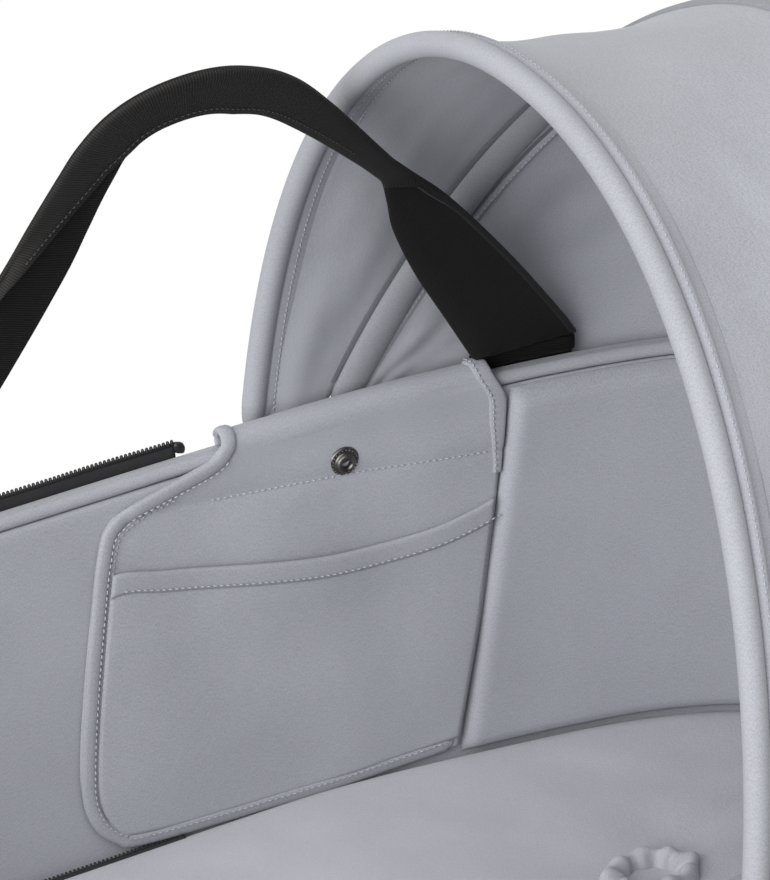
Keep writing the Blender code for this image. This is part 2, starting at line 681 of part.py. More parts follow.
def make_mattress():
    """Foam core inside a crowned cover with drawn-in sides, and the cover's zip."""
    bottom = MATTRESS_BOTTOM
    edge = MATTRESS_EDGE_TOP
    tall = edge - bottom
    pull = MATTRESS_SIDE_PULL
    crown = MATTRESS_CROWN
    rings = [mattress_ring(bottom + tall * up, pull * inset) for up, inset in MATTRESS_SIDE_SHARES]
    rings += [mattress_ring(edge + crown * up, 2 * pull, scale) for up, scale in MATTRESS_TOP_SHARES]
    cover = add_solid("mattress_cover", *loft(rings), grey_twill(), 60)

    wall = MATTRESS_COVER_THICKNESS
    low = bottom + wall
    high = edge - wall
    inset = 4 * pull
    hollow = [mattress_ring(z, inset) for z in (low, high)]
    boolean(cover, cutter("cut_mattress_hollow", loft(hollow)), "DIFFERENCE")
    core = [mattress_ring(z, inset + FIT_GAP) for z in (low + FIT_GAP, high - FIT_GAP)]
    add_solid("mattress_core", *loft(core), foam())

    zip_top = edge - tall * 0.20 + MATTRESS_ZIP_HEIGHT / 2
    zip_bottom = zip_top - MATTRESS_ZIP_HEIGHT
    depth = RIM_HEIGHT - zip_top
    ends = [share_at_x(x, depth) for x in (MATTRESS_ZIP_END_X, MATTRESS_ZIP_START_X)]
    outer = -LINER_INSET - MATTRESS_WALL_CLEARANCE
    deep = outer - inset - 3 * wall
    slot_shares = shares_between(ends[0], ends[1])
    slot = [(depth, outer + wall), (RIM_HEIGHT - zip_bottom, outer + wall),
            (RIM_HEIGHT - zip_bottom, deep), (depth, deep)]
    boolean(cover, cutter("cut_mattress_zip", arc_part(slot, slot_shares)), "DIFFERENCE")
    tape_inner = outer - pull
    tape = [(depth + FIT_GAP, tape_inner), (RIM_HEIGHT - zip_bottom - FIT_GAP, tape_inner),
            (RIM_HEIGHT - zip_bottom - FIT_GAP, tape_inner + MATTRESS_ZIP_DEPTH),
            (depth + FIT_GAP, tape_inner + MATTRESS_ZIP_DEPTH)]
    trim = FIT_GAP / (2 * RIM_HALF_LENGTH)
    tape_shares = [ends[0] + trim, *slot_shares[1:-1], ends[1] - trim]
    add_solid("mattress_zip", *arc_part(tape, tape_shares), black_zip())


def make_pull():
    """Gathered cloth ring sewn on the mattress top: the radius ripples round it."""
    steps = PULL_GATHERS * 4
    low = MATTRESS_CROWN_TOP + FIT_GAP
    sections = []
    for step in range(steps):
        turn = 2 * math.pi * step / steps
        ripple = 1 + 0.16 * math.cos(PULL_GATHERS * turn)
        out = np.array([math.cos(turn), math.sin(turn) * 0.7, 0.0])
        centre = np.array([PULL_X, PULL_Y, 0.0]) + out * PULL_RADIUS
        flat = PULL_FULLNESS * ripple
        corners = [(-flat, 0.0), (-flat * 0.9, flat * 0.8), (0.0, flat * 1.4), (flat * 0.9, flat * 0.8),
                   (flat, 0.0)]
        sections.append([centre + out * along + np.array([0.0, 0.0, low + up]) for along, up in corners])
    add_solid("mattress_pull", *loft(sections, True, True), grey_twill(), 80)


def flap_left_x(depth):
    """Left edge of the flap, which sweeps out below the rim and rounds in at the foot."""
    table = np.array(FLAP_LEFT_SHARES)
    return FLAP_LEFT_X + FLAP_SPAN * float(np.interp(depth / FLAP_BOTTOM_DEPTH, table[:, 0], table[:, 1]))


def flap_right_x(depth):
    """Right edge of the flap, just clear of the head pad."""
    share = depth / MATTRESS_TOP_DEPTH
    return HEAD_PAD_TOP_X + (HEAD_PAD_BOTTOM_X - HEAD_PAD_TOP_X) * share - PIPING_RADIUS


def on_far_wall(x, depth, offset):
    return wall_points([share_at_x(x, depth)], depth, offset)[0]


def flap_sheet(rows, columns, left_inset, right_inset, centre_offset):
    """Grid on the far wall; each row is a left depth and a right depth."""
    grid = []
    for left_depth, right_depth in rows:
        left = flap_left_x(left_depth) + left_inset
        right = flap_right_x(right_depth) - right_inset
        row = []
        for column in range(columns + 1):
            share = column / columns
            depth = left_depth + (right_depth - left_depth) * share
            row.append(on_far_wall(left + (right - left) * share, depth, centre_offset))
        grid.append(row)
    return grid


def make_flap():
    """Flap over the far rim: a fixed roll over the piping and a hanging panel with a pocket."""
    rise = FLAP_ROLL_RISE - FLAP_THICKNESS
    outside = BOARD_OUTER - FLAP_THICKNESS
    line = [(-FIT_GAP, outside), (-rise * 0.5, outside), (-rise * 0.9, outside * 0.6), (-rise, outside * 0.1),
            (-rise * 0.8, FLAP_INNER * 0.8), (-rise * 0.4, FLAP_INNER), (FLAP_WRAP_INNER_DEPTH, FLAP_INNER)]
    profile = thick_profile(line, -FLAP_THICKNESS)
    start = share_at_x(flap_right_x(0.0) - FLAP_ROLL_MARGIN, 0.0)
    stop = share_at_x(flap_left_x(0.0), 0.0)
    add_solid("flap_wrap", *arc_part(profile, shares_between(start, stop)), grey_twill())

    hinge_depth = FLAP_WRAP_INNER_DEPTH + FLAP_HINGE_GAP
    middle = FLAP_INNER - FLAP_THICKNESS / 2
    ends = [on_far_wall(x, hinge_depth, FLAP_INNER - FLAP_THICKNESS)
            for x in (flap_left_x(hinge_depth), flap_right_x(hinge_depth))]
    hinge = pivot("pocket_flap_hinge", (ends[0] + ends[1]) / 2)
    depths = hinge_depth + (FLAP_BOTTOM_DEPTH - hinge_depth) * np.linspace(0.0, 1.0, FLAP_ROWS + 1)
    grid = flap_sheet([(d, d) for d in depths], FLAP_COLUMNS, 0.0, 0.0, middle)
    panel = add_solid("flap_panel", *shell_part(grid, FLAP_THICKNESS), grey_twill())

    radius = FLAP_BINDING_RADIUS
    inwards = FLAP_INNER - FLAP_THICKNESS - FIT_GAP - radius
    low = FLAP_BOTTOM_DEPTH - radius
    path = [on_far_wall(flap_left_x(d) + radius, d, inwards) for d in depths[1:] if d < low - radius]
    left = flap_left_x(low) + radius
    right = flap_right_x(low)
    path.extend(on_far_wall(left + (right - left) * share, low, inwards) for share in (0.0, 0.3, 0.65, 1.0))
    binding = add_solid("flap_binding", *tube_part(smooth_curve(path, 16), radius, 6), grey_twill(), 80)

    pocket_middle = POCKET_OUTER - POCKET_THICKNESS / 2
    shares = np.linspace(0.0, 1.0, FLAP_ROWS - 3)
    rows = [(POCKET_LEFT_DEPTH + (POCKET_BOTTOM_DEPTH - POCKET_LEFT_DEPTH) * s,
             POCKET_RIGHT_DEPTH + (POCKET_BOTTOM_DEPTH - POCKET_RIGHT_DEPTH) * s) for s in shares]
    grid = flap_sheet(rows, FLAP_COLUMNS, POCKET_SIDE_INSET, POCKET_SIDE_INSET, pocket_middle)
    pocket = add_solid("pocket_panel", *shell_part(grid, POCKET_THICKNESS), grey_twill())

    hem_middle = POCKET_OUTER - POCKET_HEM_THICKNESS / 2
    rows = [(POCKET_LEFT_DEPTH - FIT_GAP - width, POCKET_RIGHT_DEPTH - FIT_GAP - width)
            for width in (POCKET_HEM_WIDTH, 0.0)]
    grid = flap_sheet(rows, FLAP_COLUMNS, POCKET_SIDE_INSET, POCKET_SIDE_INSET, hem_middle)
    hem = add_solid("pocket_hem", *shell_part(grid, POCKET_HEM_THICKNESS), grey_twill())

    snap_offset = FLAP_INNER - FLAP_THICKNESS - FIT_GAP
    seat = on_far_wall(SNAP_X, SNAP_DEPTH, snap_offset)
    up = seat - on_far_wall(SNAP_X, SNAP_DEPTH + SNAP_RADIUS, snap_offset)
    along = on_far_wall(SNAP_X + SNAP_RADIUS, SNAP_DEPTH, snap_offset) - seat
    up /= np.linalg.norm(up)
    along /= np.linalg.norm(along)
    profile = [(SNAP_HOLE_RADIUS, 0.0), (SNAP_RADIUS, 0.0), (SNAP_RADIUS, SNAP_FLANGE_THICKNESS),
               (SNAP_RING_RADIUS, SNAP_FLANGE_THICKNESS), (SNAP_RING_RADIUS, SNAP_HEIGHT),
               (SNAP_HOLE_RADIUS, SNAP_HEIGHT)]
    points, faces = turned_part(profile, (0.0, 0.0, 0.0), -1.0, ROUND_STEPS, True)
    turned = np.stack([along, np.cross(up, along), up])
    placed = np.array(points) @ turned + seat
    snap = add_solid("flap_snap", placed, faces, gunmetal())
    for item in (panel, binding, pocket, hem, snap):
        hang_on(item, hinge)


def bow_curve(setback, half_width, rise, lean, squareness, turns):
    """Half superellipse from the far side to the near side, leaning back about the pivot line."""
    power = 2 / squareness
    height = rise * np.abs(np.sin(turns)) ** power
    across = half_width * np.sign(np.cos(turns)) * np.abs(np.cos(turns)) ** power
    angle = math.radians(lean)
    return np.stack([HOOD_PIVOT_X + setback + height * math.sin(angle), across,
                     HOOD_PIVOT_Z + height * math.cos(angle)], 1)


def front_bow(turns):
    return bow_curve(0.0, FRONT_BOW_HALF_WIDTH, FRONT_BOW_RISE, FRONT_BOW_LEAN, FRONT_BOW_SQUARENESS, turns)


def mid_bow(turns):
    return bow_curve(MID_BOW_SETBACK, MID_BOW_HALF_WIDTH, MID_BOW_RISE, MID_BOW_LEAN,
                     MID_BOW_SQUARENESS, turns)


def turn_at_rise(foot_rise, rise, squareness):
    """Angle along a bow at which it has climbed foot_rise."""
    return math.asin((foot_rise / rise) ** (squareness / 2))


def bow_turns(foot_rise, rise, squareness, count):
    start = turn_at_rise(foot_rise, rise, squareness)
    return np.linspace(start, math.pi - start, count)


def even_points(line, count):
    """Even samples along dense points."""
    run = np.concatenate(([0.0], np.cumsum(np.linalg.norm(np.diff(line, axis=0), axis=1))))
    even = np.linspace(0.0, run[-1], count)
    return np.stack([np.interp(even, run, line[:, i]) for i in range(3)], 1)


def hub_layers():
    """Distances from the middle of the tub, outwards, of what is stacked on a hub bolt."""
    mid_inner = HUB_MOUNT_FACE_Y + FIT_GAP
    mid_outer = mid_inner + MID_EYE_THICKNESS
    front_inner = FRONT_BOW_HALF_WIDTH - FRONT_EYE_THICKNESS / 2
    front_outer = front_inner + FRONT_EYE_THICKNESS
    return mid_inner, mid_outer, front_inner, front_outer


def eye_part(inner, outer, sign):
    bore = HUB_BOLT_RADIUS + HUB_BOLT_BORE_CLEARANCE
    profile = [(bore, inner), (HUB_EYE_RADIUS, inner), (HUB_EYE_RADIUS, outer), (bore, outer)]
    return turned_part(profile, (HOOD_PIVOT_X, 0.0, HOOD_PIVOT_Z), sign, ROUND_STEPS, True)


def join_eyes(tube, inner, outer):
    """Unites a bow tube with the two eyes that turn on the hub bolts."""
    for side, sign in SIDES:
        eye = cutter("eye_" + side + "_" + tube.name, eye_part(inner, outer, sign))
        boolean(tube, eye, "UNION")


def bow_lines():
    """Even points along both bows above the tub; the fabric has a column at each of them."""
    start = share_at_x(HEM_START_X, 0.0)
    columns = len(shares_between(-start, start))
    front = front_bow(bow_turns(SLEEVE_FOOT_RISE, FRONT_BOW_RISE, FRONT_BOW_SQUARENESS, OUTLINE_SAMPLES))
    mid = mid_bow(bow_turns(SLEEVE_FOOT_RISE, MID_BOW_RISE, MID_BOW_SQUARENESS, OUTLINE_SAMPLES))
    return even_points(front, columns), even_points(mid, columns)


def make_bows(front_hinge, mid_hinge):
    """Both bows with their eyes, and the fabric sleeves on them."""
    mid_inner, mid_outer, front_inner, front_outer = hub_layers()
    front_line, mid_line = bow_lines()
    bore = HUB_BOLT_RADIUS + HUB_BOLT_BORE_CLEARANCE

    feet = front_bow(bow_turns(bore + FRONT_BOW_RADIUS, FRONT_BOW_RISE, FRONT_BOW_SQUARENESS, 2))
    path = np.vstack([feet[:1], front_line, feet[1:]])
    front = add_solid("hood_front_bow", *tube_part(path, FRONT_BOW_RADIUS, BOW_SIDES), aluminium(), 80)
    join_eyes(front, front_inner, front_outer)
    sleeve = sleeve_part(path, FRONT_SLEEVE_OUTER, FRONT_SLEEVE_INNER, BOW_SIDES, 1)
    binding = add_solid("hood_front_binding", *sleeve, grey_twill(), 80)

    leads = []
    for sign, foot in ((1.0, mid_line[0]), (-1.0, mid_line[-1])):
        eye = (HOOD_PIVOT_X + bore + MID_BOW_RADIUS, sign * MID_BOW_HALF_WIDTH, HOOD_PIVOT_Z)
        bend = (HOOD_PIVOT_X + MID_BOW_SETBACK, sign * MID_BOW_HALF_WIDTH, HOOD_PIVOT_Z + MID_BOW_RADIUS)
        leads.append(smooth_curve([eye, bend, foot], BOW_LEAD_STEPS + 1)[:-1])
    path = np.vstack([leads[0], mid_line, leads[1][::-1]])
    mid = add_solid("hood_mid_bow", *tube_part(path, MID_BOW_RADIUS, BOW_SIDES), aluminium(), 80)
    join_eyes(mid, mid_inner, mid_outer)
    sleeve = sleeve_part(path, MID_SLEEVE_OUTER, MID_SLEEVE_INNER, BOW_SIDES,
                         BOW_LEAD_STEPS + MID_SLEEVE_SKIP)
    sleeve = add_solid("hood_mid_sleeve", *sleeve, grey_twill(), 80)
    for item in (front, binding):
        hang_on(item, front_hinge)
    for item in (mid, sleeve):
        hang_on(item, mid_hinge)


def make_canopies(mid_hinge):
    """Front fabric from bow to bow, and rear fabric from the mid bow down to the head end."""
    front_line, mid_line = bow_lines()
    reach = mid_line - front_line
    reach /= np.linalg.norm(reach, axis=1)[:, None]
    front_edge = front_line + reach * (FRONT_SLEEVE_OUTER + FIT_GAP + CANOPY_THICKNESS / 2)
    back_edge = mid_line - reach * (MID_SLEEVE_OUTER + FIT_GAP + CANOPY_THICKNESS / 2)
    centre = np.array([HOOD_PIVOT_X, 0.0, HOOD_PIVOT_Z])
    inwards = centre - (front_edge + back_edge) / 2
    inwards /= np.linalg.norm(inwards, axis=1)[:, None]
    grid = []
    for row in range(FRONT_CANOPY_ROWS + 1):
        share = row / FRONT_CANOPY_ROWS
        dip = FRONT_CANOPY_DIP * math.sin(math.pi * share)
        grid.append(front_edge * (1 - share) + back_edge * share + inwards * dip)
    front = add_solid("hood_front_canopy", *shell_part(grid, CANOPY_THICKNESS), grey_twill(), 60)
    hang_on(front, mid_hinge)

    start = share_at_x(HEM_START_X, 0.0)
    hem = []
    for share in shares_between(-start, start)[::-1]:
        x = float(wall_points([share], 0.0, 0.0)[0][0])
        fall = min(max((x - HEM_FALL_START_X) / (HEM_FALL_END_X - HEM_FALL_START_X), 0.0), 1.0)
        fall = fall * fall * (3 - 2 * fall)
        depth = HEM_SIDE_DROP + (HEM_HEAD_DROP - HEM_SIDE_DROP) * fall
        offset = HEM_SIDE_OFFSET + (HEM_HEAD_OFFSET - HEM_SIDE_OFFSET) * fall
        hem.append(wall_points([share], depth, offset)[0])
    hem = np.array(hem)
    control = mid_line.copy()
    control[:, :2] = hem[:, :2]
    control[:, 2] += (hem - mid_line)[:, 2] * (1 - REAR_BULGE_UP_SHARE)
    reach = control - mid_line
    reach /= np.linalg.norm(reach, axis=1)[:, None]
    top = mid_line + reach * (MID_SLEEVE_OUTER + FIT_GAP + CANOPY_THICKNESS / 2)
    grid = []
    for row in range(REAR_CANOPY_ROWS + 1):
        t = row / REAR_CANOPY_ROWS
        grid.append(top * (1 - t) ** 2 + control * 2 * t * (1 - t) + hem * t ** 2)
    add_solid("hood_rear_canopy", *shell_part(grid, CANOPY_THICKNESS), grey_twill(), 60)

    end = share_at_x(STRIP_START_X, 0.0)
    inner = COVER_OUTER + FIT_GAP
    profile = [(STRIP_TOP_DEPTH, inner), (STRIP_TOP_DEPTH, STRIP_OUTER),
               (STRIP_BOTTOM_DEPTH, STRIP_OUTER), (STRIP_BOTTOM_DEPTH, inner)]
    add_solid("hood_rear_strip", *arc_part(profile, shares_between(-end, end)), black_webbing())


def make_hubs():
    """Wedge mounts on the wall, hinge bolts, washers between the eyes, and caps."""
    mid_inner, mid_outer, front_inner, front_outer = hub_layers()
    centre = (HOOD_PIVOT_X, 0.0, HOOD_PIVOT_Z)
    bore = HUB_BOLT_RADIUS + HUB_BOLT_BORE_CLEARANCE
    for side, sign in SIDES:
        top = HOOD_PIVOT_DROP - HUB_MOUNT_HALF_HEIGHT
        low = HOOD_PIVOT_DROP + HUB_MOUNT_HALF_HEIGHT
        ends = (HOOD_PIVOT_X - HUB_MOUNT_HALF_WIDTH, HOOD_PIVOT_X + HUB_MOUNT_HALF_WIDTH)
        sections = []
        for x in (ends[0], HOOD_PIVOT_X, ends[1]):
            inner_top = on_far_wall(x, top, COVER_OUTER + FIT_GAP)[1]
            inner_low = on_far_wall(x, low, COVER_OUTER + FIT_GAP)[1]
            outside = sign * HUB_MOUNT_FACE_Y
            sections.append([(x, sign * inner_top, RIM_HEIGHT - top), (x, outside, RIM_HEIGHT - top),
                             (x, outside, RIM_HEIGHT - low), (x, sign * inner_low, RIM_HEIGHT - low)])
        mount = add_solid("hub_mount_" + side, *loft(sections), dark_plastic())
        hole = [(bore, HUB_MOUNT_FACE_Y - CUT_OVERRUN), (bore, HUB_MOUNT_FACE_Y + CUT_OVERRUN)]
        boolean(mount, cutter("cut_hub_" + side, turned_part(hole, centre, sign)), "DIFFERENCE")

        bolt_inner = on_far_wall(HOOD_PIVOT_X, HOOD_PIVOT_DROP - bore, COVER_OUTER + 2 * FIT_GAP)[1]
        head = front_outer + FIT_GAP
        profile = [(HUB_BOLT_RADIUS, bolt_inner), (HUB_BOLT_RADIUS, head), (HUB_HEAD_RADIUS, head),
                   (HUB_HEAD_RADIUS, head + HUB_HEAD_THICKNESS)]
        add_solid("hub_bolt_" + side, *turned_part(profile, centre, sign), steel())

        washer = [(bore, mid_outer + FIT_GAP), (HUB_HEAD_RADIUS, mid_outer + FIT_GAP),
                  (HUB_HEAD_RADIUS, front_inner - FIT_GAP), (bore, front_inner - FIT_GAP)]
        add_solid("hub_washer_" + side, *turned_part(washer, centre, sign, ROUND_STEPS, True), dark_plastic())

        room = HUB_HEAD_RADIUS + FIT_GAP
        rim = FRONT_BOW_HALF_WIDTH + FRONT_BOW_RADIUS + FIT_GAP
        end = head + HUB_HEAD_THICKNESS + FIT_GAP
        wide = room + HUB_CAP_WALL
        cap = [(wide, rim), (wide, end), (room, end + HUB_CAP_WALL), (room / 2, end + HUB_CAP_WALL * 1.2)]
        shell = add_solid("hub_cap_" + side, *turned_part(cap, centre, sign), dark_plastic())
        inside = [(room, head - CUT_OVERRUN), (room, end)]
        boolean(shell, cutter("cut_cap_" + side, turned_part(inside, centre, sign)), "DIFFERENCE")


def handle_outline():
    """Outer edge and inner edge of a handle in its own plane, with the webbing's thickness."""
    corners = [(HANDLE_HALF_SPAN * a, HANDLE_RISE * b) for a, b in HANDLE_EDGE_SHARES]
    edge = smooth_curve(corners, HANDLE_STEPS)
    runs = np.gradient(edge, axis=0)
    runs /= np.linalg.norm(runs, axis=1)[:, None]
    inwards = np.stack([runs[:, 1], -runs[:, 0]], 1)
    table = np.array(GRIP_OPEN_SHARES)
    open_out = np.interp(np.linspace(-1.0, 1.0, len(edge)), table[:, 0], table[:, 1])
    width = GRIP_WIDTH + (WEBBING_WIDTH - GRIP_WIDTH) * open_out
    thickness = GRIP_THICKNESS + (WEBBING_THICKNESS - GRIP_THICKNESS) * open_out
    return edge, edge + inwards * width[:, None], thickness


def handle_hinge(offsets, rise):
    """Ends of the hinge line behind the two legs, on the far side."""
    ends = []
    for x, offset in zip((HANDLE_FOOT_X, HANDLE_HEAD_X), offsets):
        point = on_far_wall(x, 0.0, offset)
        ends.append(np.array([x, point[1], RIM_HEIGHT + rise]))
    return ends


def make_handle(name, ends, sign, lean, down):
    """Webbing handle in a plane through its hinge line; lean is inwards from straight up."""
    first, last = [end * np.array([1.0, sign, 1.0]) for end in ends]
    along = (last - first) / np.linalg.norm(last - first)
    middle = (first + last) / 2
    inwards = np.array([0.0, -sign, 0.0])
    inwards -= along * float(inwards @ along)
    inwards /= np.linalg.norm(inwards)
    angle = math.radians(lean)
    up = np.array([0.0, 0.0, -1.0 if down else 1.0])
    rise = up * math.cos(angle) + inwards * math.sin(angle)
    face = np.cross(along, rise)
    outer, inner, thickness = handle_outline()
    sections = []
    for a, b, t in zip(outer, inner, thickness):
        corners = []
        for point, shift in ((a, t), (b, t), (b, -t), (a, -t)):
            height = max(point[1], 0.0) + HANDLE_HINGE_GAP
            run = point[0] + HEAD_STRAP_SHIFT / 2
            corners.append(middle + along * run + rise * height + face * shift / 2)
        sections.append(corners)
    hinge = pivot(name + "_hinge", tuple(middle))
    hang_on(add_solid(name + "_webbing", *loft(sections), black_webbing(), 60), hinge)


def strap_part(line, x, sign):
    """A length of webbing sewn over the wall at x."""
    half = WEBBING_WIDTH / 2
    profile = thick_profile(line, -WEBBING_THICKNESS)
    shares = [share_at_x(x + half, 0.0), share_at_x(x, 0.0), share_at_x(x - half, 0.0)]
    points, faces = arc_part(profile, shares)
    if sign < 0:
        points = [(p[0], -p[1], p[2]) for p in points]
        faces = [face[::-1] for face in faces]
    return points, faces


def make_handles():
    """Both handles and the sewn straps that carry them."""
    over_zip = COIL_OFFSET + APRON_COIL_RADIUS + FIT_GAP
    plain = COVER_OUTER + FIT_GAP
    half = WEBBING_THICKNESS / 2
    coil_top = APRON_COIL_RADIUS - COIL_DEPTH + FIT_GAP
    top = coil_top + WEBBING_THICKNESS
    tuck = HANDLE_TUCK_OFFSET + half
    foot_line = [(STRAP_BOTTOM_DEPTH, over_zip), (-coil_top, over_zip), (-coil_top, tuck)]
    head_line = [(STRAP_BOTTOM_DEPTH, plain), (-FIT_GAP, plain), (-FIT_GAP, tuck), (-top, tuck)]
    add_solid("far_strap_foot", *strap_part(foot_line, HANDLE_FOOT_X, 1.0), black_webbing())
    add_solid("far_strap_head", *strap_part(head_line, HANDLE_HEAD_X, 1.0), black_webbing())
    ends = handle_hinge((HANDLE_TUCK_OFFSET, HANDLE_TUCK_OFFSET), HANDLE_HINGE_RISE)
    make_handle("far_handle", ends, 1.0, HANDLE_LEAN, False)

    near_top = NEAR_STRAP_TOP_DEPTH
    over_tape = TAPE_OUTER + FIT_GAP
    foot_line = [(STRAP_BOTTOM_DEPTH, over_tape), (near_top, over_tape)]
    head_line = [(STRAP_BOTTOM_DEPTH, plain), (near_top, plain)]
    add_solid("near_strap_foot", *strap_part(foot_line, HANDLE_FOOT_X, -1.0), black_webbing())
    add_solid("near_strap_head", *strap_part(head_line, HANDLE_HEAD_X, -1.0), black_webbing())
    outside = WEBBING_THICKNESS + NEAR_HANDLE_CLEARANCE + half
    over_hem = CANOPY_THICKNESS + HEM_SIDE_CLEARANCE
    ends = handle_hinge((over_tape + outside, plain + outside + over_hem), 0.0)
    make_handle("near_handle", ends, -1.0, 0.0, True)


def spring_part(centre, start, length, sign):
    """A coil spring along Y: each point turns about the axis and climbs evenly."""
    count = SPRING_TURNS * SPRING_TURN_POINTS + 1
    turns = np.arange(count) * 2 * math.pi / SPRING_TURN_POINTS
    climb = start + length * np.arange(count) / (count - 1)
    path = np.stack([centre[0] + SPRING_COIL_RADIUS * np.cos(turns), sign * climb,
                     centre[2] + SPRING_COIL_RADIUS * np.sin(turns)], 1)
    return tube_part(path, SPRING_WIRE_RADIUS, 4)


def make_adapters():
    """Sockets for a chassis post with a pull-out locking plunger and its spring."""
    for side, sign in SIDES:
        low_x = HANDLE_MIDDLE_X - ADAPTER_HALF_LENGTH
        high_x = HANDLE_MIDDLE_X + ADAPTER_HALF_LENGTH
        heights = (ADAPTER_BOTTOM_HEIGHT, ADAPTER_TOP_HEIGHT)
        wall_top = on_far_wall(HANDLE_MIDDLE_X, RIM_HEIGHT - ADAPTER_TOP_HEIGHT, COVER_OUTER + FIT_GAP)[1]
        socket_inner = wall_top + SOCKET_WALL
        socket_outer = socket_inner + SOCKET_WIDTH
        chamber_inner = socket_outer + SOCKET_WALL
        chamber_outer = chamber_inner + SPRING_CHAMBER_LENGTH
        face = chamber_outer + SOCKET_WALL
        edge = ADAPTER_EDGE
        outline = [(low_x + edge, face), (low_x, face - edge), (low_x, None), (high_x, None),
                   (high_x, face - edge), (high_x - edge, face)]
        sections = []
        for z in heights:
            row = []
            for x, y in outline:
                if y is None:
                    y = on_far_wall(x, RIM_HEIGHT - z, COVER_OUTER + FIT_GAP)[1]
                row.append((x, sign * y, z))
            sections.append(row)
        housing = add_solid("adapter_housing_" + side, *loft(sections), dark_plastic())

        ceiling = ADAPTER_BOTTOM_HEIGHT + SOCKET_HEIGHT
        y_pair = sorted((sign * socket_inner, sign * socket_outer))
        opening = ADAPTER_BOTTOM_HEIGHT - CUT_OVERRUN
        socket = block_part((HANDLE_MIDDLE_X - SOCKET_HALF_LENGTH, y_pair[0], opening),
                            (HANDLE_MIDDLE_X + SOCKET_HALF_LENGTH, y_pair[1], ceiling))
        boolean(housing, cutter("cut_socket_" + side, socket), "DIFFERENCE")

        centre = (HANDLE_MIDDLE_X, 0.0, PLUNGER_HEIGHT)
        bore = PLUNGER_RADIUS + PLUNGER_CLEARANCE
        hole = [(bore, socket_outer - SOCKET_WIDTH / 2), (bore, chamber_inner),
                (SPRING_CHAMBER_RADIUS, chamber_inner), (SPRING_CHAMBER_RADIUS, chamber_outer),
                (bore, chamber_outer), (bore, face + CUT_OVERRUN)]
        boolean(housing, cutter("cut_bore_" + side, turned_part(hole, centre, sign)), "DIFFERENCE")

        tip = socket_outer - PLUNGER_REACH
        collar = chamber_inner + FIT_GAP
        knob = face + FIT_GAP
        rod = [(PLUNGER_RADIUS, tip), (PLUNGER_RADIUS, collar), (PLUNGER_COLLAR_RADIUS, collar),
               (PLUNGER_COLLAR_RADIUS, collar + PLUNGER_COLLAR_THICKNESS),
               (PLUNGER_RADIUS, collar + PLUNGER_COLLAR_THICKNESS), (PLUNGER_RADIUS, knob),
               (PLUNGER_KNOB_RADIUS, knob), (PLUNGER_KNOB_RADIUS, knob + PLUNGER_KNOB_THICKNESS * 0.8),
               (PLUNGER_KNOB_RADIUS * 0.85, knob + PLUNGER_KNOB_THICKNESS)]
        plunger = add_solid("release_plunger_" + side, *turned_part(rod, centre, sign), gunmetal())
        hang_on(plunger, pivot("release_slide_" + side, (HANDLE_MIDDLE_X, sign * face, PLUNGER_HEIGHT)))

        margin = FIT_GAP + SPRING_WIRE_RADIUS
        spring_start = collar + PLUNGER_COLLAR_THICKNESS + margin
        spring_end = chamber_outer - margin
        coil = spring_part(centre, spring_start, spring_end - spring_start, sign)
        add_solid("plunger_spring_" + side, *coil, steel(), 80)


def make_hood():
    place = (HOOD_PIVOT_X, 0.0, HOOD_PIVOT_Z)
    mid_hinge = pivot("hood_mid_hinge", place)
    front_hinge = pivot("hood_front_hinge", place)
    hang_on(front_hinge, mid_hinge)
    make_bows(front_hinge, mid_hinge)
    make_canopies(mid_hinge)
    make_hubs()


clear_scene()
make_base()
make_wall()
make_apron_zip()
make_head_pad()
make_mattress()
make_pull()
make_flap()
make_hood()
make_handles()
make_adapters()
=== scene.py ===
import math

import bmesh
import bpy
import numpy as np
from mathutils import Matrix


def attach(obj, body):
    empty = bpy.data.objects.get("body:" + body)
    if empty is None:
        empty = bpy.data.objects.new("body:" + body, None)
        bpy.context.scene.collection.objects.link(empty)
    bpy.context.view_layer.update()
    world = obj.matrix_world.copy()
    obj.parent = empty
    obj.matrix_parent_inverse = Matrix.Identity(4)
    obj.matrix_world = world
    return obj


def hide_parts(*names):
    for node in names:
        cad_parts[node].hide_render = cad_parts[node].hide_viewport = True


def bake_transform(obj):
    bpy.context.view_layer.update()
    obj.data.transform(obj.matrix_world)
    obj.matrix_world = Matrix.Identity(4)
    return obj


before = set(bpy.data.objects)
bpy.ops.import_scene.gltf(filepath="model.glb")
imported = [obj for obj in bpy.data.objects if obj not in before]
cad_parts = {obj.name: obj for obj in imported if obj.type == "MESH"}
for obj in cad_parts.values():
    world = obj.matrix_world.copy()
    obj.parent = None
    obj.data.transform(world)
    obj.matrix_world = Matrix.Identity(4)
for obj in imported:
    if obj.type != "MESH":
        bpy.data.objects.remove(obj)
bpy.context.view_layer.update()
print("frame loaded")

# The rim piping's line is a superellipse that draws in evenly down the wall. Depth is measured down from
# the rim, offset outwards from that line. Everything is in metres, in the frame of the CAD.
tub = {"rim": 0.240, "halfLength": 0.3818, "halfWidth": 0.1913, "power": 3.2,
       "taperDepth": 0.1725, "taperLength": 0.0394, "taperWidth": 0.0248}


def halfSizes(depth):
    # half length and half width: both shrink in step with the depth
    part = np.asarray(depth, float) / tub["taperDepth"]
    return tub["halfLength"] - tub["taperLength"] * part, tub["halfWidth"] - tub["taperWidth"] * part


def signedPower(value, power):
    # the power of the size, with the sign kept
    return np.sign(value) * np.abs(value) ** power


def ringTable(count=5761):
    # the rim's superellipse by turn, and the share of its length up to each turn
    turn = np.linspace(0, 2 * np.pi, count)
    x = tub["halfLength"] * signedPower(np.cos(turn), 2 / tub["power"])
    y = tub["halfWidth"] * signedPower(np.sin(turn), 2 / tub["power"])
    run = np.concatenate([[0], np.cumsum(np.hypot(np.diff(x), np.diff(y)))])
    return turn, run / run[-1], run[-1]


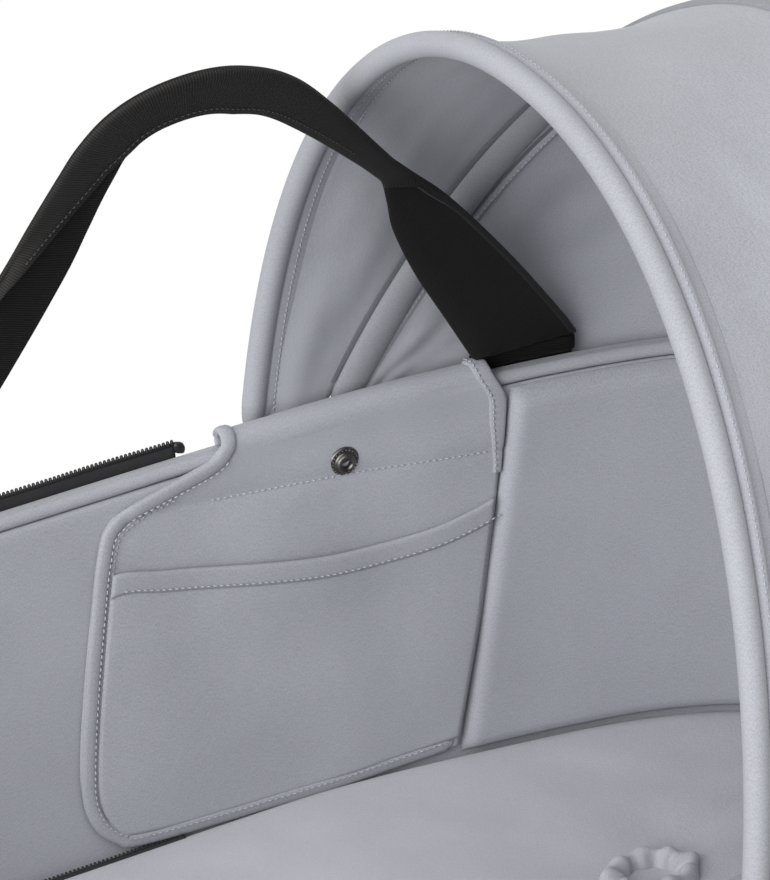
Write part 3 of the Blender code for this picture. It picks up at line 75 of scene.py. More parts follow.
ringTurn, ringRun, ringLength = ringTable()


def ringPoint(share, depth, offset):
    # share runs from the head end over the far side, the foot end and the near side
    share, depth, offset = np.broadcast_arrays(share, depth, offset)
    turn = np.interp(np.mod(share, 1.0), ringRun, ringTurn)
    a, b = halfSizes(depth)
    ux = signedPower(np.cos(turn), 2 / tub["power"])
    uy = signedPower(np.sin(turn), 2 / tub["power"])
    nx = signedPower(ux, tub["power"] - 1) / a
    ny = signedPower(uy, tub["power"] - 1) / b
    size = np.hypot(nx, ny)
    return np.stack([a * ux + offset * nx / size, b * uy + offset * ny / size, tub["rim"] - depth], -1)


def shareAt(x, depth=0.0):
    # the far side's share at a given x
    a, _ = halfSizes(depth)
    ux = np.clip(np.asarray(x, float) / a, -1, 1)
    turn = np.arccos(signedPower(ux, tub["power"] / 2))
    return np.interp(turn, ringTurn, ringRun)


def farWall(x, depth, offset):
    # a point of the far wall at a given x
    return ringPoint(shareAt(x, depth), depth, offset)


# Curves and small helpers


def curveThrough(points, count):
    # Catmull-Rom through the points, sampled evenly along its length
    p = np.asarray(points, float)
    padded = np.vstack([2 * p[0] - p[1], p, 2 * p[-1] - p[-2]])
    t = np.linspace(0, 1, 24, endpoint=False)[:, None]
    parts = [0.5 * (2 * b + (c - a) * t + (2 * a - 5 * b + 4 * c - d) * t ** 2
                    + (3 * b - a - 3 * c + d) * t ** 3)
             for a, b, c, d in zip(padded[:-3], padded[1:-2], padded[2:-1], padded[3:])]
    return evenly(np.vstack(parts + [p[-1:]]), count)


def evenly(line, count):
    # the same line with its points at equal running lengths
    run = arcRun(line)
    at = np.linspace(0, run[-1], count)
    return np.stack([np.interp(at, run, line[:, i]) for i in range(line.shape[1])], 1)


def arcRun(line):
    # running length: the sum of all steps so far
    return np.concatenate([[0], np.cumsum(np.linalg.norm(np.diff(line, axis=0), axis=1))])


def unit(v):
    return v / np.maximum(np.linalg.norm(v, axis=-1, keepdims=True), 1e-12)


def ease(low, high, value):
    # 3t^2 - 2t^3 of the share t of the way from low to high
    t = np.clip((np.asarray(value, float) - low) / (high - low), 0, 1)
    return t * t * (3 - 2 * t)


def hump(centre, width, value):
    # bell curve: e to the minus square of the distance over the width
    return np.exp(-((np.asarray(value, float) - centre) / width) ** 2)


def throughTable(table, value):
    # smooth monotone-looking curve through (in, out) pairs
    t = np.asarray(table, float)
    line = curveThrough(t, 400)
    return np.interp(value, line[:, 0], line[:, 1])


def cloudy(u, v, seed, coarse, count=7):
    # a few crossing sine waves of about one size, between -1 and 1
    rng = np.random.default_rng(seed)
    total = np.zeros(np.broadcast(u, v).shape)
    for _ in range(count):
        angle = rng.uniform(0, np.pi)
        size = coarse * rng.uniform(0.6, 1.5)
        total = total + np.sin(2 * np.pi * (u * np.cos(angle) + v * np.sin(angle)) / size + rng.uniform(0, 6.3))
    return total / count ** 0.5 / 1.4


def carriedFrames(path):
    # two cross directions carried along a path: each is the last one made square to the new tangent
    tangent = unit(np.gradient(path, axis=0))
    side = np.eye(3)[np.argmin(np.abs(tangent[0]))]
    sides = []
    for t in tangent:
        side = side - t * float(side @ t)
        side = side / np.linalg.norm(side)
        sides.append(side)
    return np.array(sides), np.cross(tangent, sides)


# Meshes


def gridFaces(rows, columns, wrapRows, wrapColumns):
    # quads between neighbouring rows and columns, and the row and column of every corner
    i = np.arange(rows if wrapRows else rows - 1)[:, None]
    j = np.arange(columns if wrapColumns else columns - 1)[None, :]
    i2, j2 = (i + 1) % rows, (j + 1) % columns
    quads = np.stack(np.broadcast_arrays(i * columns + j, i * columns + j2,
                                         i2 * columns + j2, i2 * columns + j), -1).reshape(-1, 4)
    corners = np.stack([np.stack(np.broadcast_arrays(j + b, i + a), -1)
                        for a, b in ((0, 0), (0, 1), (1, 1), (1, 0))], -2).reshape(-1, 4, 2)
    return quads, corners


def spread(points, axis, wrap):
    # mean running length along one direction of a grid
    moved = np.concatenate([points, np.take(points, [0], axis)], axis) if wrap else points
    steps = np.linalg.norm(np.diff(moved, axis=axis), axis=2)
    mean = np.median(steps, axis=1 - axis)
    return np.concatenate([[0], np.cumsum(mean)])


def newPiece(name, points, faces, weave, finish, sharp=None, outward=True):
    # an object from points and faces, with its weave coordinates in metres
    mesh = bpy.data.meshes.new(name)
    mesh.from_pydata(np.asarray(points, float).tolist(), [], faces)
    layer = mesh.uv_layers.new(name="weave")
    layer.data.foreach_set("uv", np.asarray(weave, np.float32).ravel())
    if outward:
        work = bmesh.new()
        work.from_mesh(mesh)
        bmesh.ops.recalc_face_normals(work, faces=work.faces)
        if work.calc_volume(signed=True) < 0:
            bmesh.ops.reverse_faces(work, faces=work.faces)
        work.to_mesh(mesh)
        work.free()
    mesh.shade_smooth()
    if sharp:
        mesh.set_sharp_from_angle(angle=math.radians(sharp))
    mesh.materials.append(finish)
    piece = bpy.data.objects.new(name, mesh)
    bpy.context.collection.objects.link(piece)
    return piece


def gridParts(points, wrapRows=False, wrapColumns=False, caps=False, along=None, across=None):
    # points, quads and weave places of a grid of points, closed along either side if wanted
    points = np.asarray(points, float)
    rows, columns = points.shape[:2]
    quads, corners = gridFaces(rows, columns, wrapRows, wrapColumns)
    u = spread(points, 1, wrapColumns) if across is None else across
    v = spread(points, 0, wrapRows) if along is None else along
    weave = np.stack([u[corners[..., 0]], v[corners[..., 1]]], -1).reshape(-1, 2)
    faces = quads.tolist()
    if caps:
        for start in (0, (rows - 1) * columns):
            faces.append(list(range(start, start + columns)))
            weave = np.vstack([weave, np.zeros((columns, 2))])
    return points.reshape(-1, 3), faces, weave


def gridPiece(name, points, finish, sharp=None, outward=True, **shape):
    return newPiece(name, *gridParts(points, **shape), finish, sharp, outward)


def joinParts(parts):
    # several sets of faces in one, each numbered on from the points before it
    points, faces, weave, start = [], [], [], 0
    for p, f, w in parts:
        points.append(p)
        faces.extend([[i + start for i in face] for face in f])
        weave.append(w)
        start += len(p)
    return np.vstack(points), faces, np.vstack(weave)


def closedSheet(front, back, **places):
    # the front and the turned back as one loop of corners, with quads that close its first and last row
    rows, columns = front.shape[:2]
    points, faces, weave = gridParts(np.concatenate([front, back[:, ::-1]], 1), wrapColumns=True, **places)
    wide = 2 * columns
    ends = [[r * wide + j, r * wide + j + 1, r * wide + wide - 2 - j, r * wide + wide - 1 - j]
            for r in (0, rows - 1) for j in range(columns - 1)]
    return points, faces + ends, np.vstack([weave, np.zeros((4 * len(ends), 2))])


def sheetPiece(name, points, thickness, finish):
    # a sheet of one thickness: half of it to each side along the normal, thinner at its edge
    normal = unit(np.cross(np.gradient(points, axis=0), np.gradient(points, axis=1)))
    inset = np.ones(points.shape[:2])
    inset[[0, -1], :] = 0.55
    inset[:, [0, -1]] = 0.55
    half = normal * (thickness / 2 * inset)[..., None]
    u = spread(points, 1, False)
    across = np.concatenate([u, u[::-1], u[:1]])
    parts = closedSheet(points + half, points - half, across=across, along=spread(points, 0, False))
    return newPiece(name, *parts, finish)


def ribbon(name, rows, finish, sharp=None):
    # a closed band: one long line of points for every corner of its cross-section
    return gridPiece(name, np.array(rows).swapaxes(0, 1), finish, sharp, wrapColumns=True, caps=True)


def sweep(path, outline):
    # every point of the path plus the outline's two numbers along its carried cross directions
    a, b = carriedFrames(path)
    return path[:, None] + outline[:, :1] * a[:, None] + outline[:, 1:] * b[:, None]


def roundOutline(radius, sides):
    turn = np.arange(sides) * 2 * np.pi / sides
    return radius * np.stack([np.cos(turn), np.sin(turn)], 1)


def bandOutline(width, thickness, steps=6, edge=3):
    # a flat strip with round long edges
    half, r = width / 2 - thickness / 2, thickness / 2
    flat = np.linspace(-half, half, steps)
    turn = np.linspace(-np.pi / 2, np.pi / 2, edge + 2)[1:-1]
    top = [(x, r) for x in flat]
    right = [(half + r * np.cos(t), r * np.sin(t)) for t in turn[::-1]]
    bottom = [(x, -r) for x in flat[::-1]]
    left = [(-half - r * np.cos(t), r * np.sin(t)) for t in turn]
    return np.array(top + right + bottom + left)


def stitchParts(path, normal, pitch=0.0030, thread=0.00036, fill=0.70):
    # separate stitches along a path: each one a short spindle that dips into the cloth at both ends
    path, normal = np.asarray(path, float), np.asarray(normal, float)
    run = arcRun(path)
    count = max(int(run[-1] / pitch), 1)
    centre = (np.arange(count) + 0.5) * run[-1] / count
    along = np.array([-0.5, -0.36, 0.0, 0.36, 0.5]) * pitch * fill
    girth = np.array([0.0, 0.86, 1.0, 0.86, 0.0])
    raise_ = np.array([-0.9, 0.3, 0.75, 0.3, -0.9])
    at = centre[:, None] + along[None, :]
    spot = np.stack([np.interp(at, run, path[:, i]) for i in range(3)], -1)
    up = unit(np.stack([np.interp(at, run, normal[:, i]) for i in range(3)], -1))
    forward = unit(np.gradient(spot, axis=1))
    side = unit(np.cross(up, forward))
    turn = np.arange(6) * np.pi / 3
    ring = (np.cos(turn)[:, None] * side[:, 1:4, None] + np.sin(turn)[:, None] * up[:, 1:4, None])
    middle = spot + up * (raise_ * thread)[None, :, None]
    rings = middle[:, 1:4, None] + ring * (girth[1:4] * thread)[None, :, None, None]
    points = np.concatenate([middle[:, :1], rings.reshape(count, 18, 3), middle[:, 4:]], 1)
    one = []
    for k in range(6):
        n = (k + 1) % 6
        one.append([0, 1 + n, 1 + k])
        one.append([19, 13 + k, 13 + n])
        for r in range(2):
            one.append([1 + r * 6 + k, 1 + r * 6 + n, 7 + r * 6 + n, 7 + r * 6 + k])
    faces = [[i + 20 * s for i in face] for s in range(count) for face in one]
    corners = sum(len(f) for f in one) * count
    return points.reshape(-1, 3), faces, np.zeros((corners, 2))


def stitchPiece(name, lines, finish, **size):
    return newPiece(name, *joinParts([stitchParts(p, n, **size) for p, n in lines]), finish, outward=False)


# Materials: a socket that knows its own node tree, with arithmetic on it


class Wire:
    def __init__(self, tree, socket):
        self.tree, self.socket = tree, socket

    def maths(self, kind, *others):
        return makeNode(self.tree, "ShaderNodeMath", dict(enumerate([self, *others])), operation=kind)

    def __add__(self, other):
        return self.maths("ADD", other)

    def __sub__(self, other):
        return self.maths("SUBTRACT", other)

    def __mul__(self, other):
        return self.maths("MULTIPLY", other)

    def __truediv__(self, other):
        return self.maths("DIVIDE", other)

    def ramp(self, low, high, start=0.0, end=1.0):
        return makeNode(self.tree, "ShaderNodeMapRange",
                        {0: self, 1: low, 2: high, 3: start, 4: end}, interpolation_type="SMOOTHSTEP")

    def mixed(self, dark, light):
        inputs = {"Factor": self, 6: dark, 7: light}
        return makeNode(self.tree, "ShaderNodeMix", inputs, output=2, data_type="RGBA")


def makeNode(tree, kind, inputs=None, output=0, **settings):
    made = tree.nodes.new(kind)
    for key, value in settings.items():
        setattr(made, key, value)
    for key, value in (inputs or {}).items():
        socket = made.inputs[key]
        if isinstance(value, Wire):
            tree.links.new(value.socket, socket)
        elif isinstance(value, tuple) and len(value) == 3 and socket.type == "RGBA":
            socket.default_value = (*value, 1.0)
        else:
            socket.default_value = value
    return Wire(tree, made.outputs[output])


def newMaterial(name):
    made = bpy.data.materials.new(name)
    made.use_nodes = True
    return made, made.node_tree, made.node_tree.nodes["Principled BSDF"]


def plug(tree, shader, **values):
    for key, value in values.items():
        socket = shader.inputs[key.replace("_", " ")]
        if isinstance(value, Wire):
            tree.links.new(value.socket, socket)
        elif isinstance(value, tuple):
            socket.default_value = (*value, 1.0)
        else:
            socket.default_value = value


def scaled(tree, source, x, y, z=1.0, turn=0.0):
    return makeNode(tree, "ShaderNodeMapping", {"Vector": source, "Scale": (x, y, z), "Rotation": (0, 0, turn)})


def noise(tree, source, scale, detail=3.0, rough=0.55):
    return makeNode(tree, "ShaderNodeTexNoise",
                    {"Vector": source, "Scale": scale, "Detail": detail, "Roughness": rough})


def bump(tree, height, strength=1.0):
    return makeNode(tree, "ShaderNodeBump", {"Height": height, "Distance": 1.0, "Strength": strength})


def tint(colour, share, most=1.0):
    # a colour times a share, kept below a limit
    return tuple(min(c * share, most) for c in colour)


def weavePlace(tree):
    return makeNode(tree, "ShaderNodeUVMap", uv_map="weave")


def objectPlace(tree):
    return makeNode(tree, "ShaderNodeTexCoord", output=3)


def twillCloth(name, colour, grain=1.0, sheen=0.22, crease=1.0):
    # cotton twill: fine slanted threads from a noise stretched along 45 degrees, slubs, faint mottling
    made, tree, shader = newMaterial(name)
    place, solid = weavePlace(tree), objectPlace(tree)
    threads = noise(tree, scaled(tree, place, 3600, 1000, 1, math.radians(45)), 1.0, 1.5)
    cross = noise(tree, scaled(tree, place, 1100, 3300, 1, math.radians(-38)), 1.0, 1.0)
    slub = noise(tree, scaled(tree, place, 220, 1400), 1.0, 2.0)
    mottle = noise(tree, solid, 16.0, 3.0)
    soft = noise(tree, solid, 46.0, 2.0)
    tone = (threads - 0.5) * (1.10 * grain) + (cross - 0.5) * (0.70 * grain) + (slub - 0.5) * (0.35 * grain)
    tone = tone + (mottle - 0.5) * 0.30 + 0.5
    dark = tint(colour, 0.79)
    light = tint(colour, 1.18, 0.8)
    height = threads * 0.000055 + cross * 0.000030 + slub * 0.000030 + soft * (0.00030 * crease)
    plug(tree, shader, Base_Color=tone.ramp(0.15, 0.85).mixed(dark, light),
         Roughness=(threads * 0.10 + mottle * 0.06) + 0.76, Sheen_Weight=sheen, Sheen_Roughness=0.45,
         Specular_IOR_Level=0.25, Normal=bump(tree, height))
    return made


def ribbedWebbing(name, colour, pitch=0.0013, slant=0.10, shine=0.30):
    # ribs across the band, each one rounded, with the herringbone of the threads on top
    made, tree, shader = newMaterial(name)
    place = weavePlace(tree)
    parts = makeNode(tree, "ShaderNodeSeparateXYZ", {0: place})
    x = parts
    y = Wire(tree, parts.socket.node.outputs[1])
    wobble = noise(tree, scaled(tree, place, 90, 900), 1.0, 2.0)
    phase = (y + x * slant + wobble * 0.0005) / pitch
    rib = (phase * (2 * math.pi)).maths("SINE") * 0.5 + 0.5
    fleck = noise(tree, scaled(tree, place, 2400, 1200), 1.0, 2.0)
    wear = noise(tree, scaled(tree, place, 60, 30), 1.0, 3.0)
    tone = rib * 0.45 + fleck * 0.45 + wear * 0.25
    dark = tint(colour, 0.45)
    light = tint(colour, 1.9)
    height = rib * 0.00016 + fleck * 0.00005
    plug(tree, shader, Base_Color=tone.ramp(0.2, 0.95).mixed(dark, light),
          Roughness=fleck * 0.2 + 0.56, Sheen_Weight=0.03, Sheen_Roughness=0.4,
         Specular_IOR_Level=shine, Normal=bump(tree, height))
    return made


def zipTape(name, colour):
    # woven tape: flecks of thread with rows across them
    made, tree, shader = newMaterial(name)
    place = weavePlace(tree)
    fleck = noise(tree, scaled(tree, place, 2600, 1100), 1.0, 2.0)
    row = noise(tree, scaled(tree, place, 300, 1800), 1.0, 1.0)
    plug(tree, shader, Base_Color=(fleck * 0.6 + row * 0.4).ramp(0.25, 0.8).mixed(
        tint(colour, 0.6), tint(colour, 1.7)),
        Roughness=row * 0.2 + 0.5, Normal=bump(tree, fleck * 0.00005 + row * 0.00003))
    return made


def threadCloth(name, colour):
    # a twist of light and dark along the thread
    made, tree, shader = newMaterial(name)
    solid = objectPlace(tree)
    twist = noise(tree, solid, 2600.0, 1.0)
    plug(tree, shader, Base_Color=twist.ramp(0.3, 0.7).mixed(
        tint(colour, 0.8), tint(colour, 1.15, 0.9)),
        Roughness=twist * 0.15 + 0.6, Normal=bump(tree, twist * 0.00004))
    return made


def mouldedPlastic(name, colour, roughness=0.48):
    # spark-eroded moulding: fine pits, a little gloss variation where hands rub it
    made, tree, shader = newMaterial(name)
    solid = objectPlace(tree)
    pits = noise(tree, solid, 2400.0, 2.0)
    rub = noise(tree, solid, 26.0, 3.0)
    plug(tree, shader, Base_Color=rub.ramp(0.3, 0.7).mixed(
        tint(colour, 0.85), tint(colour, 1.25)),
        Roughness=rub * 0.16 + pits * 0.08 + (roughness - 0.1), Normal=bump(tree, pits * 0.00004))
    return made


def brushedMetal(name, colour, roughness=0.34, dull=0.2):
    # long fine lines with a faint film of dirt
    made, tree, shader = newMaterial(name)
    solid = objectPlace(tree)
    lines = noise(tree, scaled(tree, solid, 900, 900, 120), 1.0, 2.0)
    dirt = noise(tree, solid, 160.0, 3.0)
    plug(tree, shader, Base_Color=dirt.ramp(0.3, 0.75).mixed(
        tint(colour, 1 - dull), tint(colour, 1.15, 0.9)),
        Metallic=1.0, Roughness=dirt * 0.2 + lines * 0.08 + (roughness - 0.12),
        Normal=bump(tree, lines * 0.00001 + dirt * 0.00003))
    return made


def pressedBoard(name, colour):
    # short fibres pressed together, and soft blots
    made, tree, shader = newMaterial(name)
    solid = objectPlace(tree)
    fibre = noise(tree, scaled(tree, solid, 400, 400, 1500), 1.0, 3.0)
    blot = noise(tree, solid, 30.0, 3.0)
    plug(tree, shader, Base_Color=(fibre * 0.5 + blot * 0.5).ramp(0.3, 0.7).mixed(
        tint(colour, 0.85), tint(colour, 1.1, 0.85)),
        Roughness=fibre * 0.1 + 0.78, Normal=bump(tree, fibre * 0.00006))
    return made


def openFoam(name, colour):
    # cells: darker towards the middle of each, painted shade in the hollows, and deeper there
    made, tree, shader = newMaterial(name)
    cells = makeNode(tree, "ShaderNodeTexVoronoi", {"Vector": objectPlace(tree), "Scale": 900.0})
    plug(tree, shader, Base_Color=cells.ramp(0.0, 0.7).mixed(
        tint(colour, 0.8), colour), Roughness=0.95, Normal=bump(tree, cells * 0.0004))
    return made


greyColour = (0.385, 0.392, 0.430)
cloths = {
    "twill": twillCloth("greyTwill", greyColour, crease=1.6),
    "lining": twillCloth("greyLining", (0.375, 0.382, 0.422), 0.9, 0.18, 0.8),
    "binding": twillCloth("greyBinding", (0.360, 0.366, 0.402), 0.9, 0.18, 0.6),
    # the sleeve cloth is a darker copy of the grey cloth: painted shade, so the sleeve that faces the key light reads
    # no brighter than the panels
    "sleeve": twillCloth("greySleevePaintedShade", (0.270, 0.275, 0.302), 0.9, 0.16, 0.8),
    # a dark copy of the grey cloth, for strips of painted shadow in creases and seam grooves
    "shadeCloth": twillCloth("greyPaintedShade", (0.200, 0.204, 0.226), 0.9, 0.10, 0.5),
    # the mattress cloth is lighter than the wall cloth: painted light, making up for light that the walls keep off it
    "sheet": twillCloth("greyMattressPaintedLight", (0.515, 0.520, 0.556), 0.8, 0.2, 1.4),
    "webbing": ribbedWebbing("blackWebbing", (0.0062, 0.0054, 0.0050), shine=0.16),
    # a lighter copy of the black webbing: painted sheen for the front layer of the grips
    "webbingSheenFace": ribbedWebbing("blackWebbingPaintedSheen", (0.0118, 0.0108, 0.0102)),
    "zip": zipTape("blackZip", (0.014, 0.014, 0.015)),
    "thread": threadCloth("greyThread", (0.43, 0.44, 0.48)),
    "darkThread": threadCloth("blackThread", (0.050, 0.047, 0.045)),
    "teeth": mouldedPlastic("zipTeeth", (0.018, 0.018, 0.019), 0.38),
    "gunmetal": brushedMetal("gunmetal", (0.20, 0.19, 0.18), 0.38, 0.45),
    "aluminium": brushedMetal("aluminium", (0.66, 0.67, 0.69), 0.38),
    "steel": brushedMetal("zincSteel", (0.52, 0.52, 0.53), 0.34),
    "plastic": mouldedPlastic("darkPlastic", (0.030, 0.030, 0.032)),
    "board": pressedBoard("wallBoard", (0.52, 0.50, 0.46)),
    "foam": openFoam("whiteFoam", (0.78, 0.77, 0.72)),
}


def settle(piece, body, *nodes):
    # puts a piece on its body and hides the CAD nodes it stands for
    if body:
        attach(piece, body)
    if nodes:
        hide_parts(*nodes)
    return piece


print("materials made")

# Camera, matched to the photograph
view = {"place": (-0.81094, -1.72097, 1.55541), "forward": (0.37925, 0.75891, -0.52937),
        "right": (0.89454, -0.44703, 0.0), "roll": -2.6973, "lens": 234.1}


def makeCamera():
    # looks along forward; up is right crossed with forward, and both are turned by the roll
    forward = unit(np.array(view["forward"]))
    right = np.array(view["right"])
    up = np.cross(right, forward)
    roll = math.radians(view["roll"])
    r = math.cos(roll) * right + math.sin(roll) * up
    u = -math.sin(roll) * right + math.cos(roll) * up
    data = bpy.data.cameras.new("camera")
    data.lens, data.sensor_width, data.sensor_fit = view["lens"], 36.0, "AUTO"
    data.clip_start, data.clip_end = 0.1, 20.0
    camera = bpy.data.objects.new("camera", data)
    camera.matrix_world = Matrix((
        (r[0], u[0], -forward[0], view["place"][0]), (r[1], u[1], -forward[1], view["place"][1]),
        (r[2], u[2], -forward[2], view["place"][2]), (0, 0, 0, 1)))
    bpy.context.collection.objects.link(camera)
    bpy.context.scene.camera = camera


def aimed(direction):
    # a rotation that points a light's own -Z along a direction
    z = -unit(np.array(direction, float))
    x = unit(np.cross((0.0, 0.0, 1.0), z) if abs(z[2]) < 0.99 else np.array([1.0, 0, 0]))
    y = np.cross(z, x)
    return Matrix(((x[0], y[0], z[0]), (x[1], y[1], z[1]), (x[2], y[2], z[2]))).to_4x4()


lighting = {"ambient": 0.54, "ambientColour": (1.0, 1.0, 1.0), "suns": (
    {"name": "key", "to": (0.30, 0.50, -0.82), "strength": 1.10, "angle": 50},
    {"name": "foot", "to": (0.85, 0.38, -0.36), "strength": 2.60, "angle": 50},
    {"name": "back", "to": (-0.60, -0.50, -0.45), "strength": 0.45, "angle": 90},
)}


def makeLights():
    # suns first, each aimed along its own direction
    for item in lighting["suns"]:
        data = bpy.data.lights.new(item["name"], "SUN")
        data.energy, data.angle = item["strength"], math.radians(item["angle"])
        lamp = bpy.data.objects.new(item["name"], data)
        lamp.matrix_world = aimed(item["to"])
        bpy.context.collection.objects.link(lamp)
    world = bpy.data.worlds.new("world")
    bpy.context.scene.world = world
    world.use_nodes = True
    tree = world.node_tree
    tree.nodes.clear()
    ray = makeNode(tree, "ShaderNodeLightPath")
    white = makeNode(tree, "ShaderNodeBackground", {"Color": (1.0, 1.0, 1.0), "Strength": 1.0})
    grey = makeNode(tree, "ShaderNodeBackground",
                    {"Color": lighting["ambientColour"], "Strength": lighting["ambient"]})
    shown = makeNode(tree, "ShaderNodeMixShader", {0: ray, 1: grey, 2: white})
    out = tree.nodes.new("ShaderNodeOutputWorld")
    tree.links.new(shown.socket, out.inputs[0])


makeCamera()
makeLights()
bpy.context.scene.view_settings.view_transform = "Standard"
print("camera and lights made")

# Tub: outer cover, rim piping and lining


def ringGrid(profile, count, wave=None):
    # one ring round the tub for every (depth, offset) of the profile, moved out by the wave
    share = np.arange(count) / count
    return np.array([ringPoint(share, depth, offset + (0.0 if wave is None else wave(share, depth)))
                     for depth, offset in profile])


def shrunk(ring, shares):
    # the same ring drawn in towards the middle, once for every share
    return np.array([ring * np.array([s, s, 1]) for s in shares])


cover = {"steps": 420, "puff": 0.0006, "hem": 0.006}


def makeOuterCover():
    # rings down the wall: soft folds in the middle, less a groove at each row of stitches
    top = [(0.0003, 0.0034), (-0.0004, 0.0048), (-0.0004, 0.0082), (0.0006, 0.0097), (0.0024, 0.0101)]
    depths = np.concatenate([np.linspace(0.004, 0.010, 5), np.linspace(0.016, 0.214, 30), [0.2195, 0.2240]])
    outside = top + [(d, 0.0101) for d in depths] + [(0.2268, 0.0099), (0.2276, 0.0092), (0.2268, 0.0087)]
    inside = [(d, 0.0086) for d in np.linspace(0.22, 0.003, 8)] + [(0.0016, 0.0080), (0.0016, 0.0036)]

    def wave(share, depth):
        middle = float(ease(0.012, 0.04, depth) * (1 - ease(0.19, 0.216, depth)))
        folds = cloudy(share * ringLength, depth * 1.6, 4, 0.16)
        groove = 0.0007 * float(hump(cover["hem"], 0.0016, depth) + hump(0.2195, 0.0016, depth))
        return (folds - 1.0) * cover["puff"] * middle - groove

    points = ringGrid(outside + inside, cover["steps"], wave)
    piece = gridPiece("outerCover", points, cloths["twill"], wrapRows=True, wrapColumns=True)
    settle(piece, "tub", "outer_cover")
    share = np.linspace(0, 1, 1600)
    lines = []
    for depth in (cover["hem"], 0.2195):
        path = ringPoint(share, depth, 0.0094)
        lines.append((path, unit(ringPoint(share, depth, 0.02) - path)))
    settle(stitchPiece("coverStitches", lines, cloths["thread"]), "tub")


def makeRimPiping():
    # a tube along the rim whose radius varies a little
    share = np.arange(560) / 560
    sides = 16
    turn = np.arange(sides) * 2 * np.pi / sides
    radius = 0.0029 + 0.00008 * cloudy(share * ringLength, 0 * share, 3, 0.03)
    points = np.array([ringPoint(share, -radius * np.sin(t), radius * np.cos(t)) for t in turn])
    piece = gridPiece("rimPiping", points, cloths["binding"], wrapRows=True, wrapColumns=True)
    settle(piece, "tub", "rim_piping")


def makeLiner():
    # rings from under the rim over the top and down the inner wall, then shrinking rings on the floor
    steps = 320
    over = [(d, 0.0008) for d in (0.2200, 0.15, 0.08, 0.02, 0.0045)]
    over += [(0.0034, -0.0002), (0.0033, -0.0012), (0.0040, -0.0022), (0.0056, -0.0027)]
    inside = [(d, -0.0028) for d in np.concatenate([np.linspace(0.009, 0.168, 26), [0.19, 0.2160, 0.2192]])]

    def wave(share, depth):
        middle = float(ease(0.006, 0.03, depth) * (1 - ease(0.16, 0.175, depth)))
        return 0.0006 * (cloudy(share * ringLength, depth * 0.7, 8, 0.11) + 1.0) * middle * 0.5

    floor = ringPoint(np.arange(steps) / steps, 0.2199, -0.0040)
    points = np.concatenate([ringGrid(over, steps), ringGrid(inside, steps, wave),
                             shrunk(floor, (0.98, 0.9, 0.75, 0.5, 0.25, 0.05))])
    piece = gridPiece("innerLiner", points, cloths["lining"], wrapColumns=True, caps=True)
    settle(piece, "tub", "inner_liner")


def makeTray():
    # rings of the tray's profile, closed by shrinking rings above and below
    profile = [(0.2400, -0.030), (0.2400, 0.0100), (0.2396, 0.0116), (0.2386, 0.0126), (0.2370, 0.0129),
               (0.2225, 0.0129), (0.2204, 0.0126), (0.2200, 0.0118), (0.2201, 0.0108), (0.2208, 0.0104),
               (0.2280, 0.0104), (0.2280, -0.0146), (0.2370, -0.0146)]
    points = ringGrid(profile, 320)
    rows = np.concatenate([shrunk(points[0], (0.04, 0.3, 0.6, 0.85)), points,
                           shrunk(points[-1], (0.9, 0.6, 0.3, 0.04))])
    piece = gridPiece("baseTray", rows, cloths["plastic"], sharp=35, wrapColumns=True, caps=True)
    settle(piece, "tub", "base_tray")


makeOuterCover()
makeRimPiping()
makeLiner()
makeTray()
print("tub made")

# Mattress, its zip, and the gathered ring on it
mattress = {"bottom": 0.0204, "edge": 0.0680, "crown": 0.0100, "lift": 0.0042, "steps": 300}


def edgeHeight(x):
    # the cover stands a little fuller beside the pocket flap
    return mattress["edge"] + mattress["lift"] * ease(-0.30, -0.05, x) * (1 - ease(0.08, 0.22, x))


def mattressTop(x, y):
    # height of the cover's top: a low crown with a few long soft folds
    a, b = halfSizes(tub["taperDepth"])
    out = (np.abs(x / (a - 0.004)) ** 3.2 + np.abs(y / (b - 0.004)) ** 3.2) ** (1 / 3.2)
    crown = mattress["crown"] * (1 - np.clip(out, 0, 1) ** 3.4) * 0.86
    inside = 1 - ease(0.80, 0.99, out)
    folds = 0.0011 * cloudy(x, y * 1.3, 12, 0.16) + 0.0005 * cloudy(x, y, 13, 0.055)
    # the long fold that runs off the ring towards the far head corner
    along = (x - 0.190) * 0.93 + (y - 0.030) * 0.36
    off = -(x - 0.190) * 0.36 + (y - 0.030) * 0.93
    ridge = ease(-0.005, 0.02, along) * (1 - ease(0.05, 0.11, along))
    folds = folds - 0.0035 * hump(0.004, 0.006, off) * ridge + 0.0022 * hump(-0.010, 0.010, off) * ridge
    return edgeHeight(x) + crown + folds * inside


